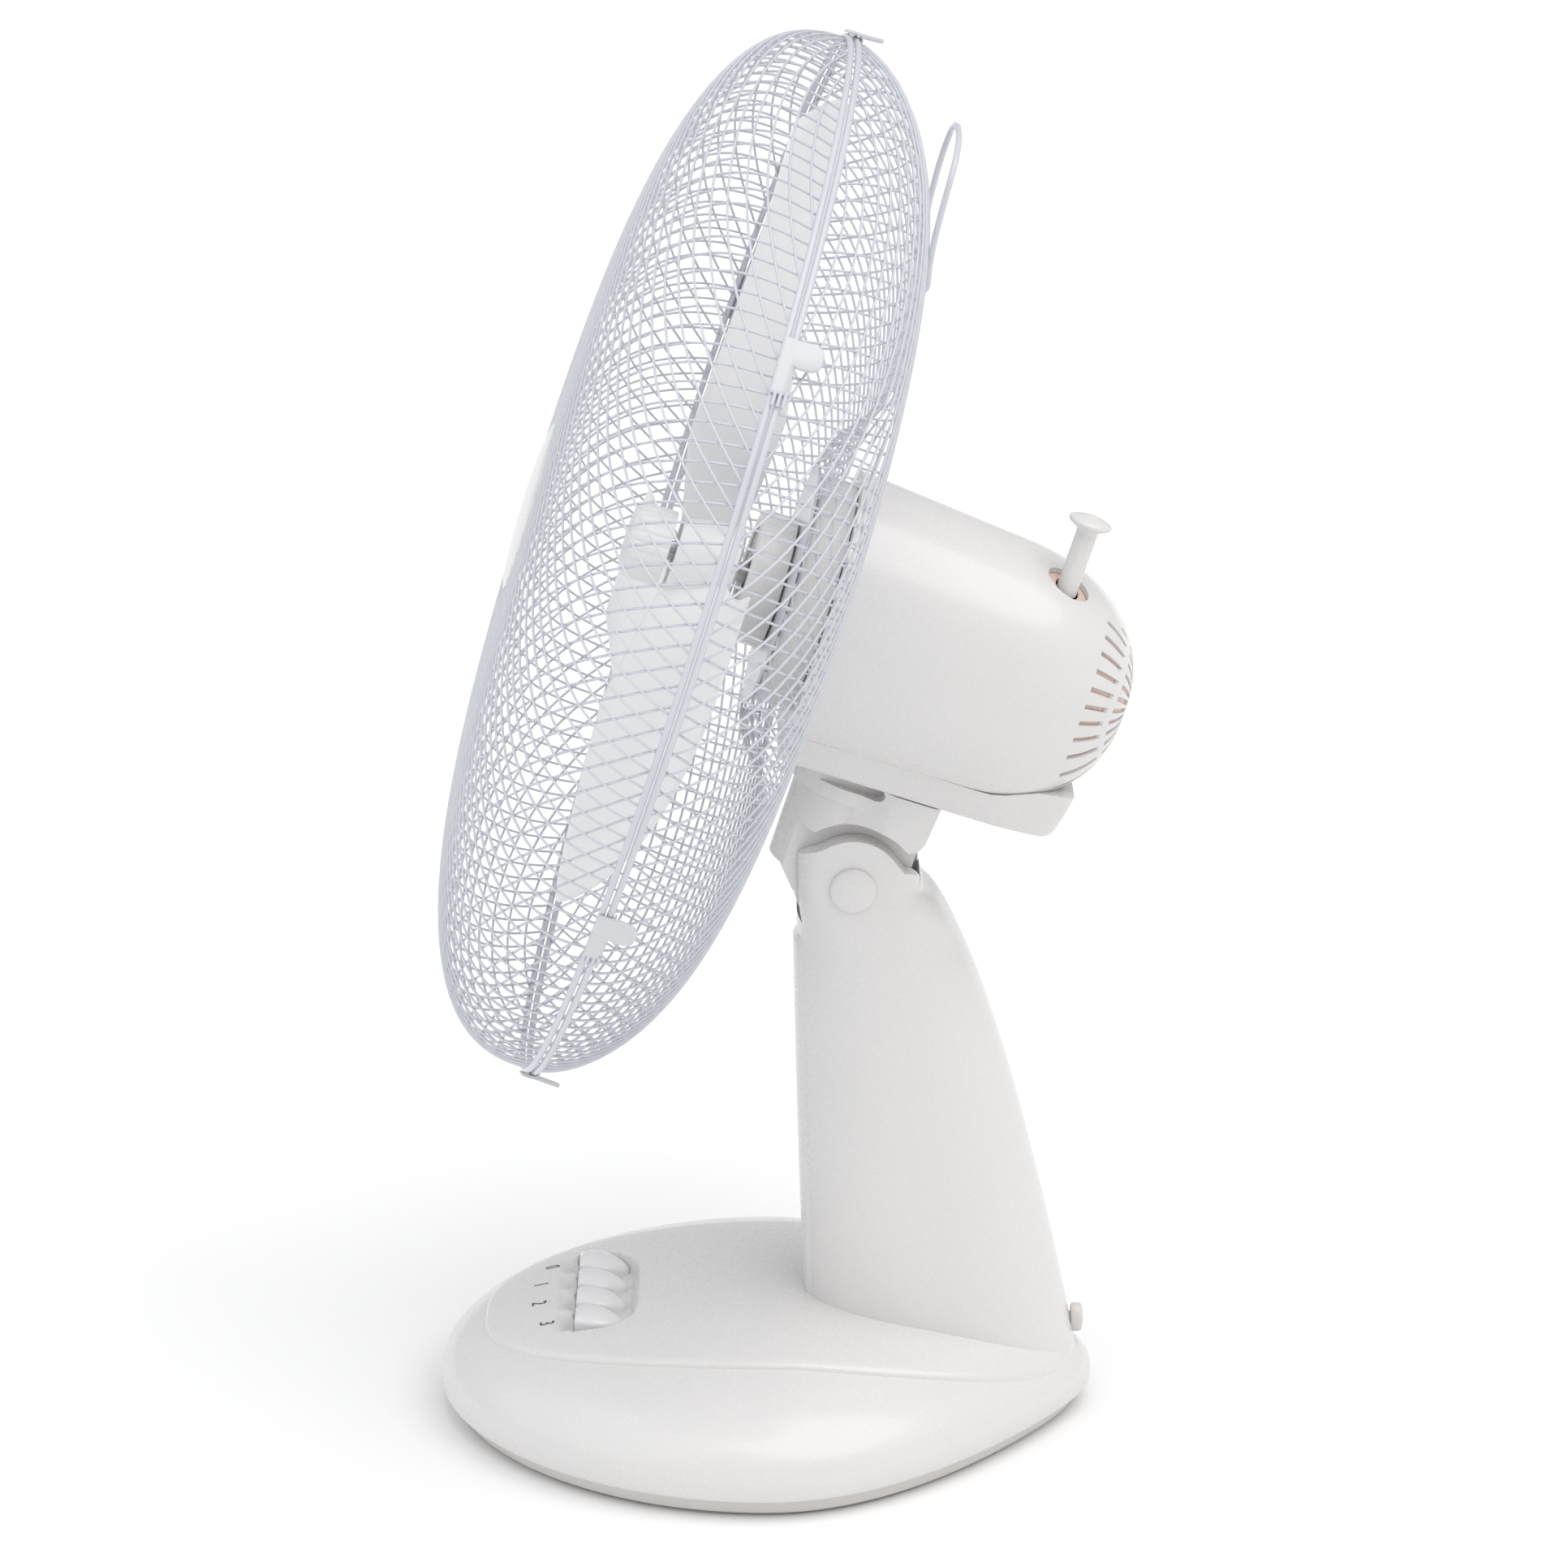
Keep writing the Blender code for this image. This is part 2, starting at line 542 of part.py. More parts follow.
SHELL_STATIONS = [SHELL_FRONT_Y / MM, 68, 90, 112, 130, 145, 157, 167, 175, 181, 185]
shell_outer = [shell_section(y * MM) for y in SHELL_STATIONS]
shell_inner = [shell_section(y * MM - 2 * SHELL_WALL if y > 150 else y * MM, -SHELL_WALL)
               for y in SHELL_STATIONS[:-1]]
shell_inner[0] = [(x, y - 3 * MM, z) for x, y, z in shell_inner[0]]
motor_shell = add("motor_shell", loft_mesh(shell_outer), SWIVEL, finish=WHITE)
cut(motor_shell, add("shell_hollow", loft_mesh(shell_inner), SWIVEL, cutter=True))
cut(motor_shell, add("below_seam", box_mesh((140 * MM, 220 * MM, 60 * MM)), SWIVEL,
                     at=(0, 110 * MM, SEAM_Z - 30 * MM), cutter=True))
drill(motor_shell, SWIVEL, (KNOB_X, KNOB_Y, 40 * MM), 7.5 * MM, 30 * MM, "Z", 20)

VENT_COUNT = 14


def vent_cutter(work):
    """Thin blades set like spokes round the rear end's axis."""
    for i in range(VENT_COUNT):
        angle = math.radians(-58 + 296 * i / (VENT_COUNT - 1))
        made = bmesh.ops.create_cube(work, size=1.0)["verts"]
        bmesh.ops.scale(work, vec=Vector((18 * MM, 30 * MM, 2 * MM)), verts=made)
        bmesh.ops.translate(work, vec=Vector((26 * MM, 180 * MM, 0)), verts=made)
        bmesh.ops.rotate(work, matrix=Matrix.Rotation(-angle, 3, "Y"), verts=made)
        bmesh.ops.translate(work, vec=Vector((0, 0, -4.5 * MM)), verts=made)


cut(motor_shell, add("vents", mesh_of(vent_cutter), SWIVEL, cutter=True))


def lower_section(y, grow=0.0, top=SEAM_Z - GAP, floor=COVER_FLOOR_Z):
    """Lower cover outline: flared walls from a narrow flat floor up to the seam."""
    rear = max(0.0, (y - 150 * MM) / (25 * MM))
    high = (37.0 - 6.0 * rear) * MM + grow
    low = (31.0 - 5.0 * rear) * MM + grow
    floor = floor - grow
    return [(high, y, top), (low + 2 * MM, y, floor + 3 * MM), (low - 2 * MM, y, floor),
            (-low + 2 * MM, y, floor), (-low - 2 * MM, y, floor + 3 * MM), (-high, y, top)]


lower_outer = [lower_section(y * MM) for y in (58, 100, 150, 168)] + \
    [lower_section(174 * MM, -1.5 * MM)]
motor_lower_cover = add("motor_lower_cover", loft_mesh(lower_outer), SWIVEL, finish=WHITE)
lower_inner = [lower_section(y * MM, -SHELL_WALL, top=-40 * MM) for y in (60, 100, 150, 168)] + \
    [lower_section(172 * MM, -3 * MM, top=-40 * MM)]
cut(motor_lower_cover, add("lower_hollow", loft_mesh(lower_inner), SWIVEL, cutter=True))
drill(motor_lower_cover, SWIVEL, (0, SWIVEL_Y, COVER_FLOOR_Z), 25 * MM, 10 * MM, "Z", 32)

turned("motor_front_cover",
       [(44.5 * MM, 2.5 * MM), (44.5 * MM, 15.4 * MM), (46.5 * MM, 15.4 * MM), (46.5 * MM, 1.0 * MM),
        (45.5 * MM, 0.0), (20.5 * MM, 0.0), (20.5 * MM, -15.0 * MM), (19.5 * MM, -15.8 * MM),
        (8.0 * MM, -15.8 * MM), (8.0 * MM, -13.5 * MM), (17.5 * MM, -13.5 * MM), (17.5 * MM, 2.5 * MM)],
       SWIVEL, at=(0, 41.2 * MM, 0), turn=(-math.pi / 2, 0, 0), sides=32, finish=WHITE)


# ---------------------------------------------------------------- motor
def ring(name, outer, inner, front, back, frame, finish, sides=28, x=0.0, z=0.0):
    """A plain tube along the motor axis between two stations."""
    return turned(name, [(inner, (back - front) / 2), (outer, (back - front) / 2),
                         (outer, (front - back) / 2), (inner, (front - back) / 2)],
                  frame, at=(x, (front + back) / 2, z), turn=(-math.pi / 2, 0, 0), sides=sides, finish=finish)


ring("stator", 38 * MM, 23 * MM, 62 * MM, 92 * MM, SWIVEL, LAMINATION)
ring("winding_front", 34 * MM, 25 * MM, 54 * MM, 61.6 * MM, SWIVEL, COPPER, 20)
ring("winding_rear", 34 * MM, 25 * MM, 92.4 * MM, 100 * MM, SWIVEL, COPPER, 20)
ring("end_bell_front", 40 * MM, 9.3 * MM, 48 * MM, 52.5 * MM, SWIVEL, DIECAST)
ring("end_bell_rear", 40 * MM, 9.3 * MM, 101 * MM, 105.5 * MM, SWIVEL, DIECAST)
ring("bearing_front", 9 * MM, 4.2 * MM, 47 * MM, 53.5 * MM, SWIVEL, BRASS, 20)
ring("bearing_rear", 9 * MM, 4.2 * MM, 100 * MM, 106.5 * MM, SWIVEL, BRASS, 20)
ring("rotor", 22.4 * MM, 4.3 * MM, 62.5 * MM, 91.5 * MM, SPIN, LAMINATION)
ring("worm", 5.2 * MM, 4.3 * MM, 138 * MM, 154 * MM, SPIN, STEEL, 20)
add("motor_shaft", rod_mesh(SHAFT_RADIUS, 178 * MM, 20, "Y"), SPIN, at=(0, 66 * MM, 0), finish=STEEL)

gear_case = bevel(add("gear_case", box_mesh((38 * MM, 49 * MM, 18 * MM)), SWIVEL,
                      at=(10 * MM, 133.5 * MM, -34 * MM), finish=DIECAST), 1.5 * MM)
cut(gear_case, add("gear_pocket", box_mesh((33 * MM, 44 * MM, 30 * MM)), SWIVEL,
                   at=(10 * MM, 133.5 * MM, -26 * MM), cutter=True))
drill(gear_case, SWIVEL, (CRANK_X, CRANK_Y, -42 * MM), 3.4 * MM, 10 * MM, "Z", 16)
swivel_pin = add("swivel_pin", rod_mesh(5 * MM, 35 * MM, 20), SWIVEL,
                 at=(0, SWIVEL_Y, -61.5 * MM), finish=STEEL)
join(swivel_pin, add("swivel_pad", box_mesh((34 * MM, 30 * MM, 4 * MM)), SWIVEL,
                     at=(0, SWIVEL_Y, -43.5 * MM), cutter=True))


def gear_mesh(teeth, tip, root, thickness):
    """A spur wheel with plain tapered teeth."""
    outline = []
    for i in range(teeth):
        for offset, radius in ((0.0, root), (0.3, tip), (0.55, tip), (0.85, root)):
            angle = 2 * math.pi * (i + offset) / teeth
            outline.append((radius * math.cos(angle), radius * math.sin(angle)))
    return prism_mesh(outline, -thickness / 2, thickness / 2)


worm_wheel = add("worm_wheel", gear_mesh(20, 12.3 * MM, 10.6 * MM, 7 * MM), WHEEL, at=(KNOB_X, KNOB_Y, 0),
                 finish=NYLON)
drill(worm_wheel, WHEEL, (KNOB_X, KNOB_Y, 0), 3.4 * MM, 20 * MM, "Z", 16)
crank_gear = add("crank_gear", gear_mesh(20, 12.6 * MM, 11.0 * MM, 5 * MM), CRANK,
                 at=(CRANK_X, CRANK_Y, -38 * MM), finish=NYLON)
join(crank_gear, add("crank_hub", rod_mesh(3 * MM, 12 * MM, 16), CRANK,
                     at=(CRANK_X, CRANK_Y, -43.3 * MM), cutter=True))
crank_disc = add("crank_disc", rod_mesh(13 * MM, 3 * MM, 24), CRANK, at=(CRANK_X, CRANK_Y, -51.1 * MM),
                 finish=STEEL)
join(crank_disc, add("crank_pin", rod_mesh(2 * MM, 4 * MM, 12), CRANK,
                     at=(CRANK_X + CRANK_THROW, CRANK_Y, -52.9 * MM), cutter=True))

clutch_shaft = add("clutch_shaft", rod_mesh(3 * MM, 66 * MM, 16), KNOB,
                   at=(KNOB_X, KNOB_Y, 3 * MM), finish=STEEL)
join(clutch_shaft, add("pinion", gear_mesh(8, 4.1 * MM, 3.2 * MM, 10 * MM), KNOB,
                       at=(KNOB_X, KNOB_Y, -27 * MM), cutter=True))
turned("oscillation_knob",
       [(0.0, 70.5 * MM), (5.0 * MM, 70.0 * MM), (8.8 * MM, 67.5 * MM), (8.8 * MM, 66.5 * MM),
        (4.35 * MM, 64.0 * MM), (4.35 * MM, 36.3 * MM), (0.0, 36.3 * MM)],
       KNOB, at=(KNOB_X, KNOB_Y, 0), sides=20, finish=WHITE)


# ---------------------------------------------------------------- blades
def paddle_mesh(index):
    """One broad twisted paddle: leading edge forward, trailing edge back, rounded at the tip."""
    rows, columns = 7, 6
    centre = 2 * math.pi * index / BLADE_COUNT + math.radians(90)

    def build(work):
        grid = []
        for i in range(rows + 1):
            r = i / rows
            radius = (12 * MM) + (BLADE_TIP_RADIUS - 12 * MM) * r
            sweep = 0.22 * r
            half_angle = (0.62 - 0.06 * r) * (1 - 0.5 * r**6) * min(1.0, 0.55 + 1.6 * r)
            row = []
            for j in range(columns + 1):
                s = 2 * j / columns - 1
                angle = centre + sweep + half_angle * s
                pitch = (23 - 9 * r) * min(1.0, 0.5 + 1.6 * r) * MM
                y = 6 * MM + pitch * s - 6 * MM * r * s * s
                trim = 1 - 0.05 * s * s * r
                reach = trim * radius
                row.append(work.verts.new((reach * math.cos(angle), y, reach * math.sin(angle))))
            grid.append(row)
        for low, high in zip(grid, grid[1:]):
            for j in range(columns):
                work.faces.new((low[j], low[j + 1], high[j + 1], high[j]))

    return mesh_of(build)


fan_blade = turned("fan_blade",
                   [(4.3 * MM, 13 * MM), (HUB_RADIUS, 13 * MM), (HUB_RADIUS, -13 * MM), (4.3 * MM, -13 * MM)],
                   SPIN, at=(0, 8 * MM, 0), turn=(-math.pi / 2, 0, 0), sides=24, finish=BLADE_WHITE)
for index in range(BLADE_COUNT):
    paddle = add(f"paddle_{index}", paddle_mesh(index), SPIN, cutter=True)
    skin = paddle.modifiers.new("skin", "SOLIDIFY")
    skin.thickness = 2.0 * MM
    skin.offset = 0.0
    join(fan_blade, paddle)
drill(fan_blade, SPIN, (0, 12 * MM, 0), 4.35 * MM, 60 * MM, "Y")

turned("spinner_nut",
       [(4.4 * MM, 7.8 * MM), (15.5 * MM, 7.8 * MM), (15.5 * MM, -6.5 * MM), (12.5 * MM, -9.2 * MM),
        (0.0, -9.6 * MM), (0.0, -8.0 * MM), (4.4 * MM, -8.0 * MM)],
       SPIN, at=(0, -15.5 * MM, 0), turn=(-math.pi / 2, 0, 0), sides=24, finish=BLADE_WHITE)


# ---------------------------------------------------------------- guards
def guard_depth(radius, recessed):
    """How far the guard stands off the ring plane; the rear one is drawn in round the motor."""
    if not recessed:
        return FRONT_BOWL_DEPTH * max(0.0, 1 - (radius / GUARD_RADIUS) ** 3) ** 0.385
    bowl = REAR_BOWL_DEPTH * max(0.0, 1 - (radius / GUARD_RADIUS) ** 4.2) ** 0.61
    inward = min(max((88 * MM - radius) / (34 * MM), 0.0), 1.0)
    return bowl - REAR_BOWL_RECESS * inward * inward * (3 - 2 * inward)


def basket(name, direction, radii, recessed):
    """A coarse wire basket: spokes and hoops over the guard's bowl, as one body."""
    sections = []
    for radius in radii:
        bowl = 0.0 if radius == radii[0] else guard_depth(radius, recessed)
        depth = direction * (RING_OFFSET + bowl)
        sections.append([(radius * math.sin(2 * math.pi * i / GUARD_STEPS), depth,
                          radius * math.cos(2 * math.pi * i / GUARD_STEPS)) for i in range(GUARD_STEPS)])
    mesh = loft_mesh(sections, closed_ends=False)
    obj = add(name, mesh, SWIVEL, finish=WIRE_WHITE)
    wires = obj.modifiers.new("wires", "WIREFRAME")
    wires.thickness = 2.4 * MM
    wires.use_replace = True
    wires.use_boundary = True
    wires.use_even_offset = False
    return obj


FRONT_RADII = [r * MM for r in (210.4, 209.0, 185, 125, 39)]
REAR_RADII = [r * MM for r in (210.4, 209.0, 185, 125, 86, 52)]
basket("front_guard", -1, FRONT_RADII, recessed=False)
basket("rear_guard", 1, REAR_RADII, recessed=True)

for name, direction in (("front_guard_ring", -1), ("rear_guard_ring", 1)):
    hoop = [(GUARD_RADIUS * math.sin(2 * math.pi * i / GUARD_STEPS), direction * RING_OFFSET,
             GUARD_RADIUS * math.cos(2 * math.pi * i / GUARD_STEPS)) for i in range(GUARD_STEPS)]
    add(name, tube_mesh(hoop, RING_WIRE, 1, closed=True), SWIVEL, finish=WIRE_WHITE)

turned("front_badge",
       [(0.0, 3.0 * MM), (24 * MM, 2.4 * MM), (BADGE_RADIUS, 0.0),
        (BADGE_RADIUS, -1.5 * MM), (0.0, -1.5 * MM)],
       SWIVEL, at=(0, -FRONT_BOWL_DEPTH - RING_OFFSET - 0.2 * MM, 0), turn=(math.pi / 2, 0, 0),
       sides=24, finish=WHITE)

mount_y = RING_OFFSET + guard_depth(50 * MM, True)
ring("guard_mount_ring", 49.5 * MM, 21.2 * MM, mount_y - 0.9 * MM, mount_y + 0.3 * MM, SWIVEL, STEEL, 24)
ring("guard_nut", 27 * MM, 21 * MM, 24 * MM, mount_y - 1.3 * MM, SWIVEL, WHITE, 24)

for number, degrees in enumerate(CLIP_ANGLES):
    angle = math.radians(degrees)
    outward = Vector((math.sin(angle), 0, math.cos(angle)))
    hinge = outward * GUARD_RADIUS
    hinge.y = -RING_OFFSET
    frame = Frame(f"clip_axis_{number}", hinge, tilted=True, parent=SWIVEL)
    profile = [(-2.0, 1.8), (-2.0, 3.4), (3.0, 4.2), (12.5, 4.8), (13.5, 3.8), (13.5, 3.0), (6.6, 2.4),
               (6.6, -0.8), (5.2, -0.8), (5.2, 1.8)]
    shape = prism_mesh([(y * MM, z * MM) for y, z in profile], -13 * MM, 13 * MM, "X")
    add(f"guard_clip_{number}", shape, frame, at=hinge, turn=(0, angle, 0), finish=WHITE)

HANDLE_LEG = [(36.0, 53.4, 139.5), (35.5, 51.2, 149.0), (35.2, 49.8, 160.0), (34.8, 49.0, 172.0),
              (33.0, 48.6, 182.0), (28.0, 48.5, 189.5), (18.0, 48.5, 193.8), (6.0, 48.5, 195.4)]
handle_points = [(x * MM, y * MM, z * MM) for x, y, z in HANDLE_LEG]
handle_points += [(-x, y, z) for x, y, z in reversed(handle_points)]
add("carry_handle", tube_mesh(handle_points, 1.25 * MM, 1), SWIVEL, finish=WIRE_WHITE)
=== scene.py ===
"""The desk fan's looks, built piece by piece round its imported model, in metres."""

import json
import math

import bmesh
import bpy
import numpy as np
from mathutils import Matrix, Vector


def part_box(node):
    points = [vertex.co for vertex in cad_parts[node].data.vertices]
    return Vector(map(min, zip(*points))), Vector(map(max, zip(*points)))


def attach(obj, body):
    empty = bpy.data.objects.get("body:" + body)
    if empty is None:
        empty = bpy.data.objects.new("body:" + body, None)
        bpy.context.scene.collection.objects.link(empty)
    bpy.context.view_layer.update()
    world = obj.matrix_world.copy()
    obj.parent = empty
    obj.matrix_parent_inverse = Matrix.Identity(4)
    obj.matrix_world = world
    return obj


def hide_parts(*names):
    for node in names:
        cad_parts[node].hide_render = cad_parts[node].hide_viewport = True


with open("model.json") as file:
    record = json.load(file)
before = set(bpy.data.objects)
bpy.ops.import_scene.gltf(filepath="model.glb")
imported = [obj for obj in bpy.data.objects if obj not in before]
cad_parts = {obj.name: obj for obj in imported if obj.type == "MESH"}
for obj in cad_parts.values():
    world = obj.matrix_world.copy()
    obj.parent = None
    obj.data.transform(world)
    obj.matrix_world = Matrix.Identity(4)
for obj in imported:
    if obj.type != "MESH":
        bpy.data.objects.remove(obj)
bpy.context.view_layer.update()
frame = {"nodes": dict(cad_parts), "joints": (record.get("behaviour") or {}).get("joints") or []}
joints = {joint["name"]: joint for joint in frame["joints"]}


# ---------------------------------------------------------------- base pan and its rubber feet
# A shallow tray moulded in a slightly warmer white that closes the base from below. It shows as
# a narrow band under the top moulding, and stands on four rubber feet pressed into its floor.
shell_low, shell_high = (np.array(corner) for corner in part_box("base_shell"))
egg_middle = (shell_low[1] + shell_high[1]) / 2
egg_half_length = (shell_high[1] - shell_low[1]) / 2
egg_half_width = (shell_high[0] - shell_low[0]) / 2


def egg_ring(scale, height, grow=0.0, count=144):
    """The base's plan: y is a cosine, x a sine times a width that narrows with the cosine squared,
    a little towards the front and much more towards the rear. Angle 0 is the rear."""
    angle = np.linspace(0, -2 * np.pi, count, endpoint=False)
    along = np.cos(angle)
    narrow = np.where(along > 0, 0.47, 0.07) * along**2
    x = scale * (egg_half_width * (1 - narrow) + grow) * np.sin(angle)
    y = egg_middle + scale * (egg_half_length + grow) * along
    return np.stack([x, y, np.broadcast_to(height, x.shape)], -1)


def grid_faces(rows, columns, rows_meet=False, columns_meet=True):
    """Four-sided faces between neighbours on a grid of points that is numbered row by row."""
    i = np.arange(rows if rows_meet else rows - 1)[:, None]
    j = np.arange(columns if columns_meet else columns - 1)[None, :]
    after_i, after_j = (i + 1) % rows, (j + 1) % columns
    corners = [i * columns + j, i * columns + after_j, after_i * columns + after_j, after_i * columns + j]
    return np.stack([np.broadcast_to(c, (i.size, j.size)) for c in corners], -1).reshape(-1, 4).tolist()


def solid(name, points, faces):
    """A mesh of worked-out points and faces, its doubled points merged and its faces turned outwards."""
    work = bmesh.new()
    mesh = bpy.data.meshes.new(name)
    mesh.from_pydata(np.asarray(points, float).reshape(-1, 3).tolist(), [], faces)
    work.from_mesh(mesh)
    bmesh.ops.remove_doubles(work, verts=work.verts, dist=2e-6)
    bmesh.ops.dissolve_degenerate(work, edges=work.edges, dist=1e-6)
    bmesh.ops.recalc_face_normals(work, faces=work.faces)
    work.to_mesh(mesh)
    work.free()
    obj = bpy.data.objects.new(name, mesh)
    bpy.context.scene.collection.objects.link(obj)
    return obj


def lofted(name, rings):
    """A skin over a stack of equal rings of points, its first and last ring closed with a flat face."""
    rings = np.asarray(rings, float)
    rows, columns = rings.shape[:2]
    faces = grid_faces(rows, columns)
    faces += [list(range(columns)), list(range((rows - 1) * columns, rows * columns))]
    return solid(name, rings, faces)


def fitted(obj, finish, body, slot, *cad_nodes, sharp=40.0):
    """Gives a finished piece its material and smooth shading, and fixes it to its body."""
    obj.data.materials.clear()
    obj.data.materials.append(finish)
    obj.data.shade_smooth()
    obj.data.set_sharp_from_angle(angle=math.radians(sharp))
    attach(obj, body)
    if cad_nodes:
        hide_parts(*cad_nodes)
    return obj


def moulded(name, colour, shade, roughness, grain=900.0, relief=0.00002, coat=0.0):
    """Moulded plastic: two close shades drift into each other over a few centimetres, a fine grain
    changes the gloss, and the same grain lifts the surface by a few hundredths of a millimetre."""
    material = bpy.data.materials.new(name)
    material.use_nodes = True
    nodes, links = material.node_tree.nodes, material.node_tree.links
    shader = nodes["Principled BSDF"]
    place = nodes.new("ShaderNodeTexCoord")
    drift = nodes.new("ShaderNodeTexNoise")
    drift.inputs["Scale"].default_value = 16.0
    drift.inputs["Detail"].default_value = 3.0
    tint = nodes.new("ShaderNodeMix")
    tint.data_type = "RGBA"
    tint.inputs[6].default_value = (*colour, 1)
    tint.inputs[7].default_value = (*shade, 1)
    fine = nodes.new("ShaderNodeTexNoise")
    fine.inputs["Scale"].default_value = grain
    fine.inputs["Detail"].default_value = 4.0
    gloss = nodes.new("ShaderNodeMapRange")
    gloss.inputs["To Min"].default_value = roughness * 0.85
    gloss.inputs["To Max"].default_value = roughness * 1.2
    bump = nodes.new("ShaderNodeBump")
    bump.inputs["Strength"].default_value = 0.08
    bump.inputs["Distance"].default_value = relief
    links.new(place.outputs["Object"], drift.inputs["Vector"])
    links.new(place.outputs["Object"], fine.inputs["Vector"])
    links.new(drift.outputs["Fac"], tint.inputs[0])
    links.new(tint.outputs[2], shader.inputs["Base Color"])
    links.new(fine.outputs["Fac"], gloss.inputs["Value"])
    links.new(gloss.outputs["Result"], shader.inputs["Roughness"])
    links.new(fine.outputs["Fac"], bump.inputs["Height"])
    links.new(bump.outputs["Normal"], shader.inputs["Normal"])
    shader.inputs["Coat Weight"].default_value = coat
    shader.inputs["Coat Roughness"].default_value = 0.08
    return material


warm_white = moulded("warm_white_abs", (0.70, 0.67, 0.645), (0.66, 0.63, 0.605), 0.45)
pan_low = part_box("base_pan")[0]
pan_levels = [(0.930, 0.0), (0.940, 0.0), (0.9465, 0.0004), (0.9505, 0.0011), (0.9570, 0.0035),
              (0.9640, 0.0060), (0.9690, 0.0074)]
pan = lofted("pan_moulding", [egg_ring(scale, pan_low.z + rise) for scale, rise in pan_levels])
fitted(pan, warm_white, "base", "warm_white_plastic", "base_pan")

rubber = moulded("foot_rubber", (0.045, 0.045, 0.047), (0.03, 0.03, 0.03), 0.8, 500.0, 0.00008)
for side in ("front_left", "front_right", "rear_left", "rear_right"):
    foot = frame["nodes"]["rubber_foot_" + side]
    foot.data.materials.clear()
    foot.data.materials.append(rubber)


# ---------------------------------------------------------------- base top moulding
# The glossy white egg-shaped top of the base, injection moulded, 2.5 mm thick. Its edge is rounded
# over, and its middle is open where the control deck and the column drop in.
gloss_white = moulded("glossy_white_abs", (0.745, 0.735, 0.725), (0.715, 0.705, 0.695), 0.26, 700.0, 0.00001,
                      0.15)
rim_height = shell_low[2] + 0.006
dome_rise = 0.035


def dome_height(rho, y):
    """The top's height: the rim plus a rise times the root of one less rho to the power 3.5, where rho
    runs from 0 in the middle to 1 at the edge. The rise falls off by 8 mm towards the rear."""
    rise = dome_rise - 0.008 * np.maximum(0.0, (y - 0.010) / 0.120)
    return rim_height + rise * np.sqrt(np.maximum(0.0, 1 - rho**3.5))


def dome_ring(climb, inset=0.0):
    """One ring of the dome: climb runs from 0 at the rim to a quarter turn at the middle."""
    rho = np.cos(climb) ** (2 / 3.5)
    ring = egg_ring(rho, 0.0, -inset)
    ring[:, 2] = dome_height(rho, ring[:, 1]) - inset
    return ring


def dome(name, inset, foot):
    """The dome as a closed solid, standing on a foot of (scale, height) rings."""
    climbs = np.linspace(0.0, 0.49 * np.pi, 40)
    return lofted(name, [egg_ring(s, z, -inset) for s, z in foot] + [dome_ring(c, inset) for c in climbs])


def carve(obj, tool, operation="DIFFERENCE"):
    """Cuts one solid from another, or joins or intersects them, and throws the tool away."""
    step = obj.modifiers.new("carve", "BOOLEAN")
    step.operation = operation
    step.object = tool
    step.solver = "EXACT"
    graph = bpy.context.evaluated_depsgraph_get()
    mesh = bpy.data.meshes.new_from_object(obj.evaluated_get(graph))
    obj.modifiers.clear()
    obj.data = mesh
    bpy.data.objects.remove(tool, do_unlink=True)
    return obj


def deck_edge(grow, count=160):
    """The control deck's plan: a long oval, fuller at its front, grown by a margin. Angle 0 is the rear."""
    angle = np.linspace(0, 2 * np.pi, count, endpoint=False)
    along, across = np.cos(angle), np.sin(angle)
    fuller = np.sign(across) * np.abs(across) ** np.where(along < 0, 0.8, 1.0)
    return np.stack([(0.073 + grow) * fuller, 0.0005 + (0.1235 + grow) * along], -1)


def prism(name, outline, low, high):
    """A flat outline of (x, y) carried straight up from one height to another."""
    outline = np.asarray(outline, float)
    rings = [np.column_stack([outline, np.full(len(outline), z)]) for z in (low, high)]
    return lofted(name, rings)


top = dome("top_moulding", 0.0, [(0.986, rim_height - 0.0059), (0.9925, rim_height - 0.0058),
                                 (0.9965, rim_height - 0.0050), (0.9990, rim_height - 0.0035)])
carve(top, dome("inside", 0.0025, [(1.0, rim_height - 0.02), (1.0, rim_height - 0.003)]))
carve(top, prism("deck_opening", deck_edge(-0.004), 0.0, 0.08))
fitted(top, gloss_white, "base", "white_plastic", "base_shell", sharp=50)


# ---------------------------------------------------------------- control deck
# A raised tongue-shaped deck that stands 2.2 mm proud of the base, moulded in the same white. It
# has a pocket for the four keys, with a scooped finger trough running down to the front of each.
key_places = []
for number in range(4):
    low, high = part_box(f"button_{number}")
    key_places.append(((low.x + high.x) / 2, low.y, high.y, high.z))
key_front, key_rear = key_places[0][1], key_places[0][2]
key_pitch = key_places[1][0] - key_places[0][0]


def dome_under(x, y):
    """The dome's height below any point: rho is found by halving the range it can lie in, because the
    plan's width depends on the direction."""
    ahead = (y - egg_middle) / egg_half_length
    low, high = np.abs(ahead) + 1e-9, np.ones_like(x) * 1.2
    for _ in range(36):
        rho = (low + high) / 2
        cosine = np.clip(ahead / rho, -1, 1)
        narrow = np.where(cosine > 0, 0.47, 0.07) * cosine**2
        reach = rho * egg_half_width * (1 - narrow) * np.sqrt(1 - cosine**2)
        low, high = np.where(reach < np.abs(x), rho, low), np.where(reach < np.abs(x), high, rho)
    return dome_height(np.minimum(rho, 1.0), y)


def ease(t):
    """Smooth step from 0 to 1, flat at both ends."""
    t = np.clip(t, 0, 1)
    return t * t * (3 - 2 * t)


def deck_width(y):
    """Half the deck's width at a distance along it."""
    along = np.clip((y - 0.0005) / 0.1235, -1, 1)
    return 0.073 * (1 - along**2) ** np.where(along < 0, 0.4, 0.5)


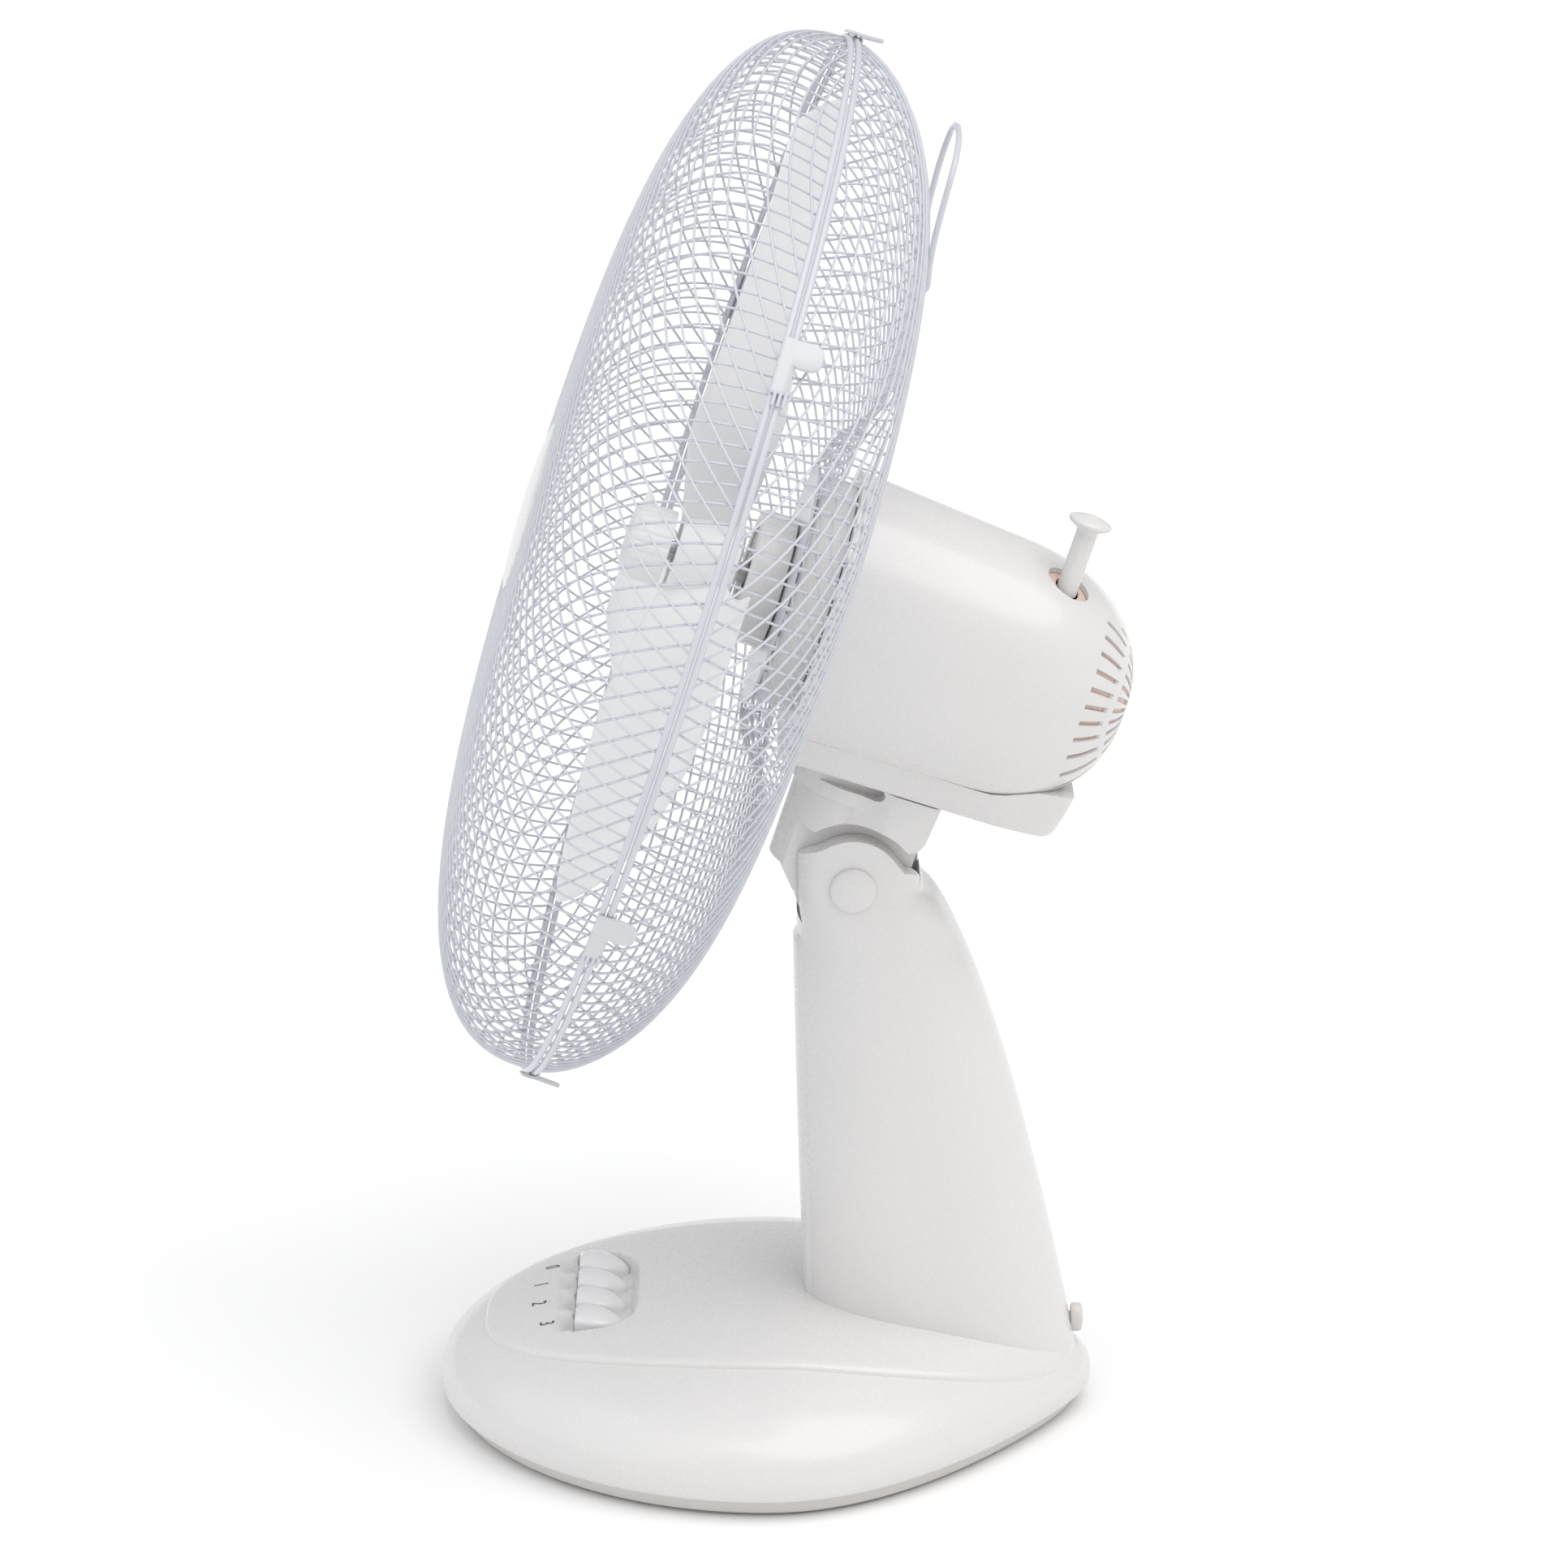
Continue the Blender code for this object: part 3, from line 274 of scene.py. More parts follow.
def deck_height(x, y):
    """The dome's height plus 2.2 mm, rounded off within 2.5 mm of the edge, less the key pocket (a
    rounded box 5 mm deep) and one trough per key: a half round across, easing down over 9 mm."""
    along = np.clip((y - 0.0005) / 0.1235, -1, 1)
    power = np.where(along < 0, 2.5, 2.0)
    level = np.abs(x / 0.073) ** power + along**2
    slope = np.hypot(power / 0.073 * np.abs(x / 0.073) ** (power - 1), 2 * along / 0.1235) + 1e-6
    inside = np.clip((1 - level) / slope, 0, 0.0025) / 0.0025
    proud = 0.0023 * np.sqrt(1 - (1 - inside) ** 2)
    side = (0.0385 - np.abs(x)) / 0.0022
    bow = 0.0045 - 0.0150 * (x / 0.0385) ** 6
    behind_front = ease((y - key_front + 0.0012) / 0.0008)
    pocket = ease(side) * behind_front * ease((key_rear + 0.0012 + bow - y) / 0.0042)
    over_keys = ease((0.0372 - np.abs(x)) / 0.0015)
    middle = np.abs(np.abs((x + 2 * key_pitch) / key_pitch % 1.0 - 0.5)) * 2
    trough = np.sqrt(np.maximum(0.0, 1 - middle**2.2)) * ease((y - key_front + 0.0095) / 0.0085)
    trough = trough * over_keys * (y < key_rear - 0.004)
    return dome_under(x, y) + proud - np.maximum(0.0066 * pocket, 0.0055 * trough)


deck_rows = np.unique(np.concatenate([
    0.0005 - 0.1235 * np.cos(np.linspace(0, 0.28 * np.pi, 26)),
    np.linspace(-0.0980, -0.0550, 88),
    np.linspace(-0.0550, 0.1000, 46),
    0.0005 + 0.1235 * np.sin(np.linspace(0.30 * np.pi, 0.5 * np.pi, 24))]))
deck_rows = deck_rows[np.concatenate([[True], np.diff(deck_rows) > 1e-4])]
share = np.sin(np.linspace(-0.5 * np.pi, 0.5 * np.pi, 33))
share = np.unique(np.concatenate([share[np.abs(share) > 0.8], np.linspace(-0.8, 0.8, 149)]))
deck_y = np.repeat(deck_rows[:, None], len(share), 1)
deck_x = share[None, :] * deck_width(deck_y)
deck_top = np.stack([deck_x, deck_y, deck_height(deck_x, deck_y)], -1)
deck_floor = deck_top - np.array([0, 0, 0.0022])


def sheet(name, upper, lower):
    """Two like grids of points closed into one solid by a band of faces round their common border."""
    rows, columns = upper.shape[:2]
    count = rows * columns
    faces = grid_faces(rows, columns, columns_meet=False)
    border = np.concatenate([np.arange(columns), np.arange(1, rows) * columns + columns - 1,
                             (rows - 1) * columns + np.arange(columns - 2, -1, -1),
                             np.arange(rows - 2, 0, -1) * columns])
    after = np.roll(border, -1)
    band = np.stack([border, after, after + count, border + count], -1).tolist()
    points = np.concatenate([upper.reshape(-1, 3), lower.reshape(-1, 3)])
    return solid(name, points, faces + [[corner + count for corner in face] for face in faces] + band)


deck = sheet("deck_moulding", deck_top, deck_floor)
fitted(deck, gloss_white, "base", "white_plastic", "base_deck", sharp=60)


# ---------------------------------------------------------------- speed numbers
# The numbers 0 to 3, pad printed in dark grey ahead of the keys, where someone at the front of the
# fan reads them. Each is a skin a tenth of a millimetre thick that follows the deck.
ink = moulded("printed_ink", (0.05, 0.05, 0.055), (0.07, 0.07, 0.075), 0.5)
for number, (x, front, rear, height) in enumerate(key_places):
    letters = bpy.data.curves.new(f"figure_{number}", "FONT")
    letters.body = str(number)
    letters.size = 0.0088
    letters.align_x = "CENTER"
    letters.align_y = "CENTER"
    letters.extrude = 0.00012
    letters.resolution_u = 6
    holder = bpy.data.objects.new("letters", letters)
    bpy.context.scene.collection.objects.link(holder)
    bpy.context.view_layer.update()
    mesh = bpy.data.meshes.new_from_object(holder.evaluated_get(bpy.context.evaluated_depsgraph_get()))
    bpy.data.objects.remove(holder, do_unlink=True)
    points = np.empty(len(mesh.vertices) * 3)
    mesh.vertices.foreach_get("co", points)
    points = points.reshape(-1, 3)
    points[:, 0] = points[:, 0] * 0.78 + x * 1.02
    points[:, 1] += front - 0.0163 + 0.0045 * (x / key_pitch / 1.5) ** 2
    points[:, 2] += deck_height(points[:, 0], points[:, 1])
    mesh.vertices.foreach_set("co", points.ravel())
    figure = bpy.data.objects.new(f"number_{number}", mesh)
    bpy.context.scene.collection.objects.link(figure)
    fitted(figure, ink, "base", "black_plastic")


# ---------------------------------------------------------------- speed keys
# Four glossy white keys with a blunt front, domed top and pointed rear, each moulded as a cap that
# clips onto its slide in the switch and moves straight down.
key_white = moulded("key_white_abs", (0.80, 0.80, 0.80), (0.77, 0.77, 0.775), 0.16, 700.0, 0.000005, 0.4)


def key_outline(count=48):
    """Half widths along the key, from 0 at the front to 1 at the tip. The width swells as a sine from
    four fifths to full over the first third. It then closes to a soft point, as one less the power 1.9
    of the way left, to the power 0.62."""
    along = 0.5 - 0.5 * np.cos(np.linspace(0, np.pi, count))
    swell = 0.80 + 0.20 * np.sin(np.clip(along / 0.38, 0, 1) * np.pi / 2)
    close = (1 - np.clip((along - 0.38) / 0.62, 0, 1) ** 1.9) ** 0.62
    width = swell * close
    return np.concatenate([width, -width[::-1]]), np.concatenate([along, along[::-1]])


plan_x, plan_y = key_outline()
key_levels = [(0.99, 0.0135), (0.99, 0.0042), (0.985, 0.0034), (0.955, 0.0028), (0.89, 0.0021),
              (0.78, 0.0014), (0.62, 0.0008), (0.42, 0.0003), (0.2, 0.0001), (0.002, 0.0)]
for number, (x, front, rear, height) in enumerate(key_places):
    length = rear - front
    rings = []
    for scale, drop in key_levels:
        ring_x = x + plan_x * 0.0085 * scale
        ring_y = front + length * (0.42 + (plan_y - 0.42) * scale)
        slope = 0.0042 * np.clip((ring_y - front) / length, 0, 1) ** 1.8 * (1.0 if drop < 0.01 else 0.0)
        rings.append(np.stack([ring_x, ring_y, height - drop - slope], -1))
    key = lofted(f"key_{number}", rings)
    fitted(key, key_white, f"button_{number}", "white_plastic", f"button_{number}", sharp=50)

black = moulded("switch_black", (0.03, 0.03, 0.032), (0.045, 0.045, 0.045), 0.5)
for node in ("switch_block", "run_capacitor"):
    frame["nodes"][node].data.materials.clear()
    frame["nodes"][node].data.materials.append(black)


# ---------------------------------------------------------------- column
# One tall white moulding that leans back into the base like a fin. Its top is split into two cheeks
# that hold the head's tilt bracket, and it is screwed to the base from below.
pivot = np.array(joints["head_tilt"]["pos_m"])


def column_sides(z):
    """Front and rear edge and half width at a height: below the neck the front moves back by a power of
    the depth, and the rear sweeps back much faster."""
    depth = np.clip((0.231 - z) / 0.184, 0, 1.1)
    front = 0.0070 + 0.005 * depth**1.5
    rear = 0.0570 + 0.0625 * depth**0.62
    width = 0.0256 + 0.0077 * depth
    return front, rear, width


def column_ring(z, count=120):
    """A level cut through the column: a rounded oblong whose corners sharpen towards the cheeks."""
    front, rear, width = column_sides(z)
    power = 2.35 + 3.0 * ease((z - pivot[2] + 0.030) / 0.040)
    angle = np.linspace(0, 2 * np.pi, count, endpoint=False)
    c, s = np.cos(angle), np.sin(angle)
    x = np.sign(c) * np.abs(c) ** (2 / power) * width
    y = (front + rear) / 2 + np.sign(s) * np.abs(s) ** (2 / power) * (rear - front) / 2
    return np.stack([x, y, np.full(count, z)], -1)


def side_prism(name, outline, half_width):
    """A flat outline of (y, z) carried across, from one side to the other."""
    outline = np.asarray(outline, float)
    rings = [np.column_stack([np.full(len(outline), x), outline]) for x in (-half_width, half_width)]
    return lofted(name, rings)


def arc(centre, radius, start, end, count):
    """Points on a circular arc between two angles in degrees, counted from +y towards +z."""
    angle = np.radians(np.linspace(start, end, count))
    return np.stack([centre[0] + radius * np.cos(angle), centre[1] + radius * np.sin(angle)], -1)


column = lofted("column_moulding", [column_ring(z) for z in np.linspace(0.017, pivot[2] + 0.030, 72)])
crown = arc((0.0, 0.0), 0.0206, 128, 55, 30)
ahead = [[-0.060, -0.260], [-0.060, 0.0112], [-0.0226, 0.0112], [-0.0222, 0.0128], [-0.0210, 0.0140],
         [-0.0180, 0.0152], [-0.0150, 0.0158]]
behind = [[0.0138, 0.0152], [0.0160, 0.0128], [0.0205, 0.0068], [0.0235, 0.0060], [0.0256, 0.0046],
          [0.0290, -0.0004], [0.0345, -0.0090], [0.0600, -0.0400], [0.1500, -0.1500], [0.1500, -0.2600]]
outline = pivot[1:] + np.concatenate([ahead, crown[3:], behind])
carve(column, side_prism("crown", outline, 0.060), "INTERSECT")
gap = np.concatenate([arc(pivot[1:], 0.027, 180, 360, 40), pivot[1:] + np.array(
    [[0.034, 0.008], [0.034, 0.040], [-0.034, 0.040], [-0.034, 0.0]])])
carve(column, side_prism("cheek_gap", gap, 0.0154))
edges = column.modifiers.new("soft_edges", "BEVEL")
edges.width = 0.0009
edges.segments = 3
edges.limit_method = "ANGLE"
edges.angle_limit = math.radians(35)
fitted(column, gloss_white, "base", "white_plastic", "column", sharp=38)


# ---------------------------------------------------------------- column front cover
# A slim white strip clipped into the column's front over the wiring, standing 1.7 mm proud.
cover_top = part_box("column_front_cover")[1].z
strip_levels = np.linspace(0.050, cover_top, 48)
strip_rows = []
for z in strip_levels:
    front, rear, width = column_sides(z)
    across = np.linspace(-1, 1, 25) * 0.0125
    power = 2.35 + 3.0 * ease((z - pivot[2] + 0.030) / 0.040)
    fullness = (1 - np.abs(across / width) ** power) ** (1 / power)
    surface = (front + rear) / 2 - (rear - front) / 2 * fullness
    closing = np.sqrt(max(0.0, 1 - max(0.0, 1 - (cover_top - z) / 0.0022) ** 2))
    proud = 0.0018 * closing * np.sqrt(np.maximum(0, 1 - (across / 0.01251) ** 10)) - 0.0002
    outer = np.stack([across, surface - proud, np.full(25, z)], -1)
    inner = np.stack([across[::-1], surface[::-1] + 0.0008, np.full(25, z)], -1)
    strip_rows.append(np.concatenate([outer, inner]))
strip = lofted("front_strip", strip_rows)
fitted(strip, gloss_white, "base", "white_plastic", "column_front_cover", sharp=45)


# ---------------------------------------------------------------- lock screw
# A small two-lobed thumb screw behind the foot of the column that holds it down in the base.
screw_low, screw_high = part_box("column_lock_screw")
screw_x, screw_z = (screw_low.x + screw_high.x) / 2, (screw_low.z + screw_high.z) / 2
angle = np.linspace(0, 2 * np.pi, 64, endpoint=False)
screw_rings = []
shank_radius = 0.0024
screw_levels = [(shank_radius, 0.0125), (shank_radius, 0.0050), (0.0053, 0.0050), (0.0060, 0.0043),
                (0.0060, 0.0016), (0.0056, 0.0007), (0.0046, 0.0002), (0.0030, 0.0), (0.00002, -0.00015)]
for radius, inward in screw_levels:
    lobes = 1 - (0.13 * np.cos(2 * angle) + 0.13 if radius > shank_radius else 0.0)
    screw_rings.append(np.stack([screw_x + radius * lobes * np.cos(angle),
                                 np.full(64, screw_high.y - inward),
                                 screw_z + radius * np.sin(angle)], -1))
screw = lofted("thumb_screw", screw_rings)
fitted(screw, warm_white, "base", "warm_white_plastic", "column_lock_screw", sharp=45)


# ---------------------------------------------------------------- pivot caps and bolt
# Domed white caps pressed over both ends of the steel tilt bolt, one on each cheek.
def turned(name, profile, centre, axis, sides=96):
    """A profile of (radius, distance along the axis) in millimetres spun round the axis."""
    profile = np.asarray(profile, float) * 0.001
    axis = np.asarray(axis, float) / np.linalg.norm(axis)
    first = np.cross(axis, [0.0, 0.3, 1.0] if abs(axis[2]) < 0.9 else [0.0, 1.0, 0.0])
    first = first / np.linalg.norm(first)
    second = np.cross(axis, first)
    angle = np.linspace(0, 2 * np.pi, sides, endpoint=False)
    round_axis = np.cos(angle)[:, None] * first + np.sin(angle)[:, None] * second
    points = np.asarray(centre) + profile[:, None, :1] * round_axis[None] + profile[:, None, 1:] * axis
    on_axis = profile[0, 0] == 0 and profile[-1, 0] == 0
    return solid(name, points, grid_faces(len(profile), sides, rows_meet=not on_axis))


dome_profile = [(0, 3.0)]
dome_profile += [(9.25 * math.sin(t), 1.2 + 1.8 * math.cos(t) ** 0.8) for t in np.linspace(0.2, 1.45, 9)]
dome_profile += [(9.3, 0.9), (9.3, 0.0), (0, 0.0)]
for side, direction in (("right", 1), ("left", -1)):
    centre = pivot + np.array([direction * 0.0254, 0, 0])
    cap = turned(f"pivot_button_{side}", dome_profile, centre, (direction, 0, 0))
    fitted(cap, gloss_white, "base", "white_plastic", f"pivot_cap_{side}", sharp=50)


def metal(name, colour, roughness, streaks=(60.0, 60.0, 60.0), depth=0.00003, metallic=1.0):
    """Bare metal: streaks of machining stretched along one axis vary its shade and its polish."""
    material = bpy.data.materials.new(name)
    material.use_nodes = True
    nodes, links = material.node_tree.nodes, material.node_tree.links
    shader = nodes["Principled BSDF"]
    shader.inputs["Metallic"].default_value = metallic
    place = nodes.new("ShaderNodeTexCoord")
    stretch = nodes.new("ShaderNodeMapping")
    stretch.inputs["Scale"].default_value = streaks
    marks = nodes.new("ShaderNodeTexNoise")
    marks.inputs["Scale"].default_value = 12.0
    marks.inputs["Detail"].default_value = 5.0
    tint = nodes.new("ShaderNodeMix")
    tint.data_type = "RGBA"
    tint.inputs[6].default_value = (*(0.75 * c for c in colour), 1)
    tint.inputs[7].default_value = (*colour, 1)
    polish = nodes.new("ShaderNodeMapRange")
    polish.inputs["To Min"].default_value = roughness * 0.8
    polish.inputs["To Max"].default_value = roughness * 1.3
    bump = nodes.new("ShaderNodeBump")
    bump.inputs["Distance"].default_value = depth
    links.new(place.outputs["Object"], stretch.inputs["Vector"])
    links.new(stretch.outputs["Vector"], marks.inputs["Vector"])
    links.new(marks.outputs["Fac"], tint.inputs[0])
    links.new(tint.outputs[2], shader.inputs["Base Color"])
    links.new(marks.outputs["Fac"], polish.inputs["Value"])
    links.new(polish.outputs["Result"], shader.inputs["Roughness"])
    links.new(marks.outputs["Fac"], bump.inputs["Height"])
    links.new(bump.outputs["Normal"], shader.inputs["Normal"])
    return material


bright_steel = metal("turned_steel", (0.58, 0.58, 0.60), 0.3, (60.0, 6.0, 60.0))
frame["nodes"]["pivot_bolt"].data.materials.clear()
frame["nodes"]["pivot_bolt"].data.materials.append(bright_steel)


# ---------------------------------------------------------------- tilt bracket
# A thick white moulding between column and head. A flat flange carries the swivel, a round tongue
# below it fits between the cheeks and clamps on the tilt bolt, and an arch clears their tops.
spin = joints["blade_spin"]
hub = np.array(spin["pos_m"])
back = -np.array(spin["axis"])
up = np.array(joints["osc_swivel"]["axis"])


def head(x, u, v):
    """A point of the head in millimetres: x across, u rearwards along the shaft, v up from it."""
    x, u, v = np.broadcast_arrays(np.asarray(x, float), np.asarray(u, float), np.asarray(v, float))
    return hub + 0.001 * (x[..., None] * np.array([1.0, 0, 0]) + u[..., None] * back + v[..., None] * up)


def head_prism(name, outline, half_width):
    """An outline of (u, v) in the head's own millimetres, carried across from side to side."""
    outline = np.asarray(outline, float)
    return lofted(name, [head(x, outline[:, 0], outline[:, 1]) for x in (-half_width, half_width)])


def head_plate(name, outline, low, high):
    """An outline of (x, u) in the head's own millimetres, carried up between two heights v."""
    outline = np.asarray(outline, float)
    return lofted(name, [head(outline[:, 0], outline[:, 1], v) for v in (low, high)])


tilt_u, tilt_v = 104.4, -105.5
flange = [(66, -61.5), (66, -86.5), (84, -88.5), (119, -83.5), (123.5, -81), (125.5, -77.5), (127, -61.5)]
bracket = head_prism("tilt_bracket_moulding", flange, 29)
carve(bracket, head_prism("arch", arc((tilt_u, tilt_v), 27.5, 0, 360, 97)[:-1], 40))
tongue = [(66, -75), (66, -107), (74, -107), (82, -116)]
tongue += arc((tilt_u, tilt_v), 24, 208, 352, 40).tolist() + [(125, -95), (125, -75)]
carve(bracket, head_prism("tongue", tongue, 14.9), "UNION")
swivel_u = 92.0
plan = arc((0, swivel_u), 22.5, 180, 360, 41).tolist()
plan += [(29, 108), (29, 124.5), (26.5, 127.5), (-26.5, 127.5), (-29, 124.5), (-29, 108)]
carve(bracket, head_plate("bracket_plan", plan, -140, -40), "INTERSECT")
turret_profile = [(0, -13), (23.6, -13), (24, -12.6), (24, 1.2), (0, 1.2)]
turret = turned("turret", turret_profile, head(0, swivel_u, -59.8), up, 80)
carve(bracket, turret, "UNION")
groove = np.array([(52, -61.2), (52, -66.7), (101, -66.7), (103, -66.0), (104, -64.6), (104, -63.3),
                   (103, -61.9), (101, -61.2)])
for side in (1, -1):
    rings = [head(side * x, groove[:, 0], groove[:, 1]) for x in (19.0, 36.0)]
    carve(bracket, lofted("groove", rings))
edges = bracket.modifiers.new("soft_edges", "BEVEL")
edges.width = 0.0007
edges.segments = 2
edges.limit_method = "ANGLE"
edges.angle_limit = math.radians(40)
fitted(bracket, gloss_white, "tilt", "white_plastic", "tilt_bracket", sharp=45)


# ---------------------------------------------------------------- motor housing, upper shell
# The long white pot over the motor: soft shoulders, a domed rear end with a fan of cooling slots,
# and a hole for the oscillation knob. It is screwed to the lower cover along a straight seam.
def shell_ring(u, grow=0.0, count=128):
    """A cut across the shell: an oval, squarer below its middle, that narrows slowly rearwards and
    closes as a 2.3-power dome behind u = 130."""
    share = (u - 67) / 119.6
    close = max(0.0, 1 - max(0.0, (u - 130) / 56.6) ** 2.3) ** (1 / 2.3)
    tall, wide = (52.5 - 6.5 * share) * close + grow, (50.0 - 4.0 * share) * close + grow
    angle = np.linspace(0, 2 * np.pi, count, endpoint=False)
    c, s = np.cos(angle), np.sin(angle)
    power = np.where(s >= 0, 2.3, 4.0)
    return head(np.sign(c) * np.abs(c) ** (2 / power) * wide, u,
                -1 - 4 * share + np.sign(s) * np.abs(s) ** (2 / power) * tall)


dome_start = 130
rear_quarter = np.linspace(0.05, 0.5 * np.pi, 34)
outside = np.concatenate([np.linspace(57, dome_start, 30), dome_start + 56.5 * np.sin(rear_quarter)])
motor_shell = lofted("motor_shell_moulding", [shell_ring(u) for u in outside])
inside = np.concatenate([np.linspace(59, 130, 16), 130 + 53.6 * np.sin(np.linspace(0.1, 0.47 * np.pi, 20))])
carve(motor_shell, lofted("shell_inside", [shell_ring(u, -2.0) for u in inside]))
carve(motor_shell, head_prism("under_seam", [(30, -46), (220, -46), (220, -120), (30, -120)], 90))
knob_place = np.array([18.0, 146.0])
turn = np.linspace(0, 2 * np.pi, 64, endpoint=False)
hole = np.stack([knob_place[0] + 7.6 * np.cos(turn), knob_place[1] + 9.2 * np.sin(turn)], -1)
carve(motor_shell, head_plate("knob_hole", hole, 25, 70))
slot_angles = np.radians(np.concatenate([np.arange(-56, 76, 10.6), 180 - np.arange(-56, 76, 10.6)]))
slot_points, slot_faces = [], []
for turn_angle in slot_angles:
    out = np.array([math.cos(turn_angle), math.sin(turn_angle)])
    side = np.array([-out[1], out[0]])
    for inner, outer in ((12.0, 27.5), (30.5, 47.0)):
        start = 165.5 + (7.5 if turn_angle > 1.1 and turn_angle < 2.1 else 0.0)
        corners = [(r * out + w * side, u) for u in (start, 192.0) for r, w in
                   ((inner, -1.0), (outer, -1.0), (outer, 1.0), (inner, 1.0))]
        block = np.array([head(p[0], u, -4.9 + p[1]) for p, u in corners])
        first = 8 * len(slot_points)
        slot_points.append(block)
        slot_faces += [[first + k for k in face] for face in
                       ((0, 1, 2, 3), (4, 5, 6, 7), (0, 1, 5, 4), (1, 2, 6, 5), (2, 3, 7, 6), (3, 0, 4, 7))]
carve(motor_shell, solid("cooling_slots", np.concatenate(slot_points), slot_faces))
fitted(motor_shell, gloss_white, "head", "white_plastic", "motor_shell", sharp=45)

# A thin sheet stands just inside the shell and shows through its openings. Its warm pinkish colour is painted
# light: the glow of light through the translucent white shell.
# painted glow: this pinkish colour stands in for light shining through the shell, seen in the slots
painted_glow_tone = moulded("painted_slot_glow", (0.80, 0.64, 0.56), (0.74, 0.58, 0.51), 0.7, 300.0, 0.00005)
liner_quarter = np.linspace(0.1, 0.47 * np.pi, 22)
liner_stations = np.concatenate([np.linspace(80, dome_start, 12), dome_start + 53.4 * np.sin(liner_quarter)])
liner = lofted("shell_liner", [shell_ring(u, -2.2) for u in liner_stations])
carve(liner, lofted("liner_inside", [shell_ring(u, -3.4) for u in liner_stations[:-1] - 1.0]))
carve(liner, head_prism("under_liner", [(30, -44), (220, -44), (220, -120), (30, -120)], 90))
stem_hole = knob_place + 5.2 * np.stack([np.cos(turn), np.sin(turn)], -1)
carve(liner, head_plate("stem_hole", stem_hole, 20, 70))
fitted(liner, painted_glow_tone, "head", "warm_white_plastic", sharp=45)


# ---------------------------------------------------------------- motor housing, lower cover
# A shallow white tray under the motor with walls that lean in to a flat floor. It holds the swivel
# and the gear case, and its floor turns round the turret of the tilt bracket.
def tray_ring(u, grow=0.0, top=-46.3):
    """A cut across the tray: straight leaning walls and a rounded corner to a flat floor. Towards the
    rear its rim climbs 6 mm to meet the shell's underside, and its end leans back."""
    rear = max(0.0, (u - 150) / 25)
    high, low, floor = 38.0 - 5.0 * rear + grow, 31.5 - 5.0 * rear + grow, -61.0 - grow
    top = top + 6.5 * float(ease((u - 140) / 24))
    corner = np.radians(np.linspace(10, 90, 7))
    side_x = np.concatenate([[high, (high + low) / 2 + 0.6], low - 3 + 3.4 * np.cos(corner)])
    side_v = np.concatenate([[top, (top + floor) / 2], floor + 3.4 - 3.4 * np.sin(corner)])
    side_v = np.concatenate([side_v, side_v[::-1]])
    lean = 0.10 * (side_v + 54) * float(ease((u - 140) / 30))
    return head(np.concatenate([side_x, -side_x[::-1]]), u + lean, side_v)


tail = [(168, -0.1), (170, -0.4), (171.8, -1.1), (173, -2.0), (173.8, -3.2), (174.1, -4.6)]
tray_rings = [tray_ring(u) for u in np.linspace(58, 165, 20)] + [tray_ring(u, grow) for u, grow in tail]
tray = lofted("tray_moulding", tray_rings)
carve(tray, lofted("tray_inside", [tray_ring(u, -2.0, -40) for u in np.linspace(60, 156, 12)]))
carve(tray, turned("swivel_opening", [(0, -9), (25, -9), (25, 9), (0, 9)], head(0, swivel_u, -61), up, 80))
fitted(tray, gloss_white, "head", "white_plastic", "motor_lower_cover", sharp=45)


# ---------------------------------------------------------------- motor housing, front cover
# A white cup that closes the motor's front, clamps the rear guard and carries the thread of the
# guard nut on its neck.
cup_profile = [(44.5, 43.6), (44.5, 56.6), (46.6, 56.6), (46.6, 43.2), (46.2, 42.0), (45.4, 41.3),
               (44.0, 41.0), (21.5, 41.0), (20.6, 40.2), (20.5, 26.4), (20.1, 25.6), (19.4, 25.2),
               (8.0, 25.2), (8.0, 27.5), (17.8, 27.5), (17.8, 43.6)]
cover = turned("front_cup", cup_profile, head(0, 0, 0), back, 96)
fitted(cover, gloss_white, "head", "white_plastic", "motor_front_cover", sharp=45)


# ---------------------------------------------------------------- guard nut
# A broad white ring nut with shallow grips that clamps the rear guard against the motor.
ribs = np.linspace(0, 2 * np.pi, 240, endpoint=False)
nut_rows = []
nut_profile = [(21.2, 38.4, 0), (26.6, 38.4, 0), (27.0, 37.6, 0.5), (27.0, 26.0, 0.5), (26.4, 24.6, 0.3),
               (25.2, 24.0, 0), (22.2, 24.0, 0), (21.2, 24.6, 0)]
for radius, u, grip in nut_profile:
    r = radius - grip * (0.5 + 0.5 * np.cos(20 * ribs)) ** 6
    nut_rows.append(head(r * np.cos(ribs), u, r * np.sin(ribs)))
nut = solid("ring_nut", np.array(nut_rows), grid_faces(len(nut_rows), len(ribs), rows_meet=True))
fitted(nut, gloss_white, "head", "white_plastic", "guard_nut", sharp=35)


# ---------------------------------------------------------------- oscillation knob
# A white pull knob: a thin flat cap on a round stem that comes up through the housing.
stem = [(0, 36.3), (4.3, 36.3), (4.35, 62.5), (4.5, 63.4), (5.2, 64.0), (8.0, 65.6), (8.75, 66.3),
        (8.85, 66.9), (8.6, 67.6), (7.6, 68.2), (5.0, 68.9), (2.6, 69.2), (2.2, 69.6), (1.6, 69.8), (0, 69.9)]
knob = turned("pull_knob", stem, head(knob_place[0], knob_place[1], 0), up, 72)
fitted(knob, gloss_white, "knob", "white_plastic", "oscillation_knob", sharp=50)


